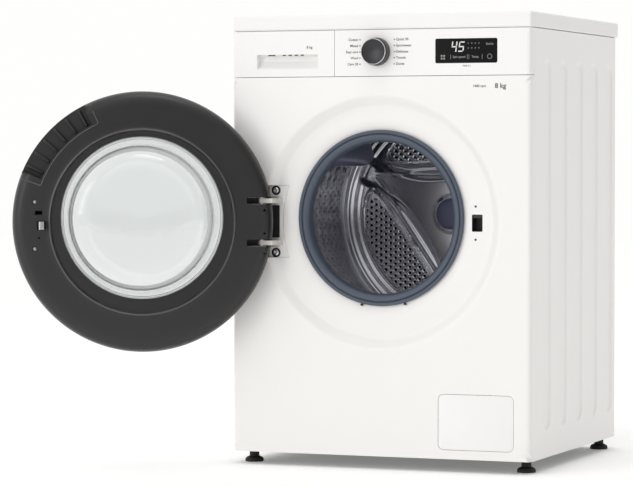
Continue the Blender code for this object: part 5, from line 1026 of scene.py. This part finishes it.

# %% [markdown]
# ## Drawer grip and lock
# The drawer front is pulled by a scooped recess whose upper edge hides finger slits, drawn as black bars of painted
# shade. Two clips hold the gasket and two small marks stand above and below the lock.

# %% Slits and lock details
slits = [(-226, -212), (-196, -190), (-184, -178), (-171, -165), (-159, -153)]
# Painted shade: thin black bars fill the finger slits and stand for the shade inside them.
slit_shade_piece = bars("drawer_slits", [(x0 * MM, 781.4 * MM, x1 * MM, 783.6 * MM) for x0, x1 in slits], (-0.15 * MM, 2 * MM))
dressed(slit_shade_piece, ABS_BLACK, "drawer", "black_plastic")
CLIP = 168.6 * MM
for k, turn_by in enumerate((-13, 17), 1):
    clip = np.array([(0, 5.6), (1.6, 5.8), (2.4, 7.2), (2.4, 11.4), (0, 11.4)]) * MM
    at = radians(270 + turn_by)
    clip_piece = turned_piece(f"gasket_clip_{k}", soften(clip, 1), CLIP * cos(at), DRUM_Z + CLIP * sin(at), 24, False)
    dressed(clip_piece, ABS_BLACK, "casing", "black_plastic")
for k, dz in enumerate((-31, 31), 1):
    mark = dots(f"lock_mark_{k}", [(HOOK_X - 3 * MM, DOOR_Z + dz * MM)], 2.2 * MM, (11.8 * MM, 12.3 * MM))
    dressed(mark, DARK_LACQUER, "casing")

# %% [markdown]
# ## Hinge cover
# A light plate lies in the hinge's window, flush with the dish. It has two dark cups with bright screws, and
# a bright block round the foot of each arm, with a recess between them whose floor is a dark sheet of painted shade.

# %% Hinge cover
inset = hinge_outline.copy()
inset[:17, 0] -= 0.7 * MM
inset[17:, 0] += 0.7 * MM
inset[:, 1] = DOOR_Z + (inset[:, 1] - DOOR_Z) * 0.988
cover_plate = prism("hinge_cover", inset, (11.9 * MM, 13.1 * MM))
SCREW_X, SCREW_Z = -214.7 * MM, 59.5 * MM
cups = [round_tool(SCREW_X, DOOR_Z + side * SCREW_Z, 9.2 * MM, (0.008, 0.02), 40) for side in (-1, 1)]
middle_hole = prism("tool", rounded((-225.5 * MM, -207.3 * MM), (DOOR_Z - 31 * MM, DOOR_Z + 31 * MM), 1 * MM), (0.008, 0.02))
worked(cover_plate, cuts=(*cups, middle_hole))
dressed(cover_plate, ENAMEL, "casing", "white_enamel")
# Painted shade: a dark sheet just behind the plate's middle hole stands for the shade in the recess.
recess_shade_sheet = prism("hinge_recess", rounded((-226.5 * MM, -206.5 * MM), (DOOR_Z - 32 * MM, DOOR_Z + 32 * MM), 1 * MM),
                     (13.25 * MM, 13.6 * MM))
dressed(recess_shade_sheet, DARK_LACQUER, "casing", "dark_steel")
cup = np.array([(0, 13.2), (8.0, 13.2), (8.6, 11.6), (9.1, 11.6), (9.1, 13.6), (0, 13.6)]) * MM
head = soften(np.array([(0, 11.4), (2.1, 11.4), (2.2, 9.6), (3.4, 9.0), (5.4, 10.0), (6.2, 12.0), (6.2, 13.1), (0, 13.1)]) * MM, 1)
for k, side in enumerate((-1, 1), 1):
    z = DOOR_Z + side * SCREW_Z
    dressed(turned_piece(f"hinge_cup_{k}", cup, SCREW_X, z, 48, False), DARK_LACQUER, "casing", "dark_steel")
    dressed(turned_piece(f"hinge_screw_{k}", head, SCREW_X, z, 36, False), BRIGHT_STEEL, "casing", "stainless")
    foot_z = (DOOR_Z + side * ARM_Z - 9 * MM, DOOR_Z + side * ARM_Z + 9 * MM)
    block = prism(f"hinge_block_{k}", rounded((-224.1 * MM, -206.7 * MM), foot_z, 1 * MM), (4.0 * MM, 12.6 * MM))
    dressed(edged(block, 1.4 * MM), CAST_ALLOY, "casing", "cast_aluminium")

# %% [markdown]
# ## Studio
# A pale floor, soft light from broad lamps and a long lens, which keeps the upright edges nearly parallel.

# %% Floor, light and camera
FLOOR = finish_of("studio_floor", "#FBFBFA", 0.75, grain_mm=3.0, bump=0.02, tone=0.01)
floor_shader = FLOOR.node_tree.nodes["Principled BSDF"]
floor_shader.inputs["Emission Color"].default_value = (1.0, 1.0, 1.0, 1.0)
floor_shader.inputs["Emission Strength"].default_value = 0.14
floor_size = 14.0
floor_mesh = bpy.data.meshes.new("studio_floor")
floor_corners = [(x * floor_size, y * floor_size, 0) for x, y in ((-1, -1), (1, -1), (1, 1), (-1, 1))]
floor_mesh.from_pydata(floor_corners, [], [[0, 1, 2, 3]])
floor = bpy.data.objects.new("studio_floor", floor_mesh)
bpy.context.scene.collection.objects.link(floor)
floor.data.materials.append(FLOOR)

world = bpy.data.worlds.new("studio")
world.use_nodes = True
tree = world.node_tree
sky = tree.nodes["Background"]
direction = add(tree, "ShaderNodeTexCoord").outputs["Generated"]
parts = add(tree, "ShaderNodeSeparateXYZ", {"Vector": direction})
dim_side = add(tree, "ShaderNodeMapRange", {"Value": parts.outputs["X"]}, From_Min=0.25, From_Max=0.95, To_Min=1.0, To_Max=0.30)
facing = add(tree, "ShaderNodeVectorMath", {0: direction}, {"operation": "DOT_PRODUCT"})
facing.inputs[1].default_value = (0.37, -0.93, -0.02)
dim_front = add(tree, "ShaderNodeMapRange", {"Value": facing.outputs["Value"]}, From_Min=0.93, From_Max=0.995, To_Min=1.0, To_Max=0.10)
level = add(tree, "ShaderNodeMath", {0: dim_side.outputs["Result"], 1: dim_front.outputs["Result"]}, {"operation": "MULTIPLY"})
tree.links.new(level.outputs[0], sky.inputs["Strength"])
sky.inputs["Color"].default_value = (1.0, 0.995, 0.99, 1.0)
bpy.context.scene.world = world


def lamp(name, place, target, size, power):
    """A square area lamp that faces its target."""
    light = bpy.data.lights.new(name, "AREA")
    light.shape, light.size, light.energy = "SQUARE", size, power
    holder = bpy.data.objects.new(name, light)
    holder.location = place
    holder.rotation_euler = (Vector(target) - Vector(place)).to_track_quat("-Z", "Y").to_euler()
    bpy.context.scene.collection.objects.link(holder)
    return holder


AIM = (0.1, 0.0, 0.45)
lamp("key", (-2.4, -4.4, 1.7), AIM, 2.2, 27)
lamp("top", (0.2, -0.6, 3.6), AIM, 1.6, 15)

LENS_YAW, LENS_PITCH = 21.78, 1.727
camera_data = bpy.data.cameras.new("camera")
camera_data.sensor_width = 36.0
camera_data.lens = 168.97
camera = bpy.data.objects.new("camera", camera_data)
camera.location = casing((1.967, -5.240, 0.595))
camera.rotation_euler = (radians(90 - LENS_PITCH), 0, radians(LENS_YAW))
bpy.context.scene.collection.objects.link(camera)
bpy.context.scene.camera = camera
bpy.context.scene.view_settings.view_transform = "Standard"
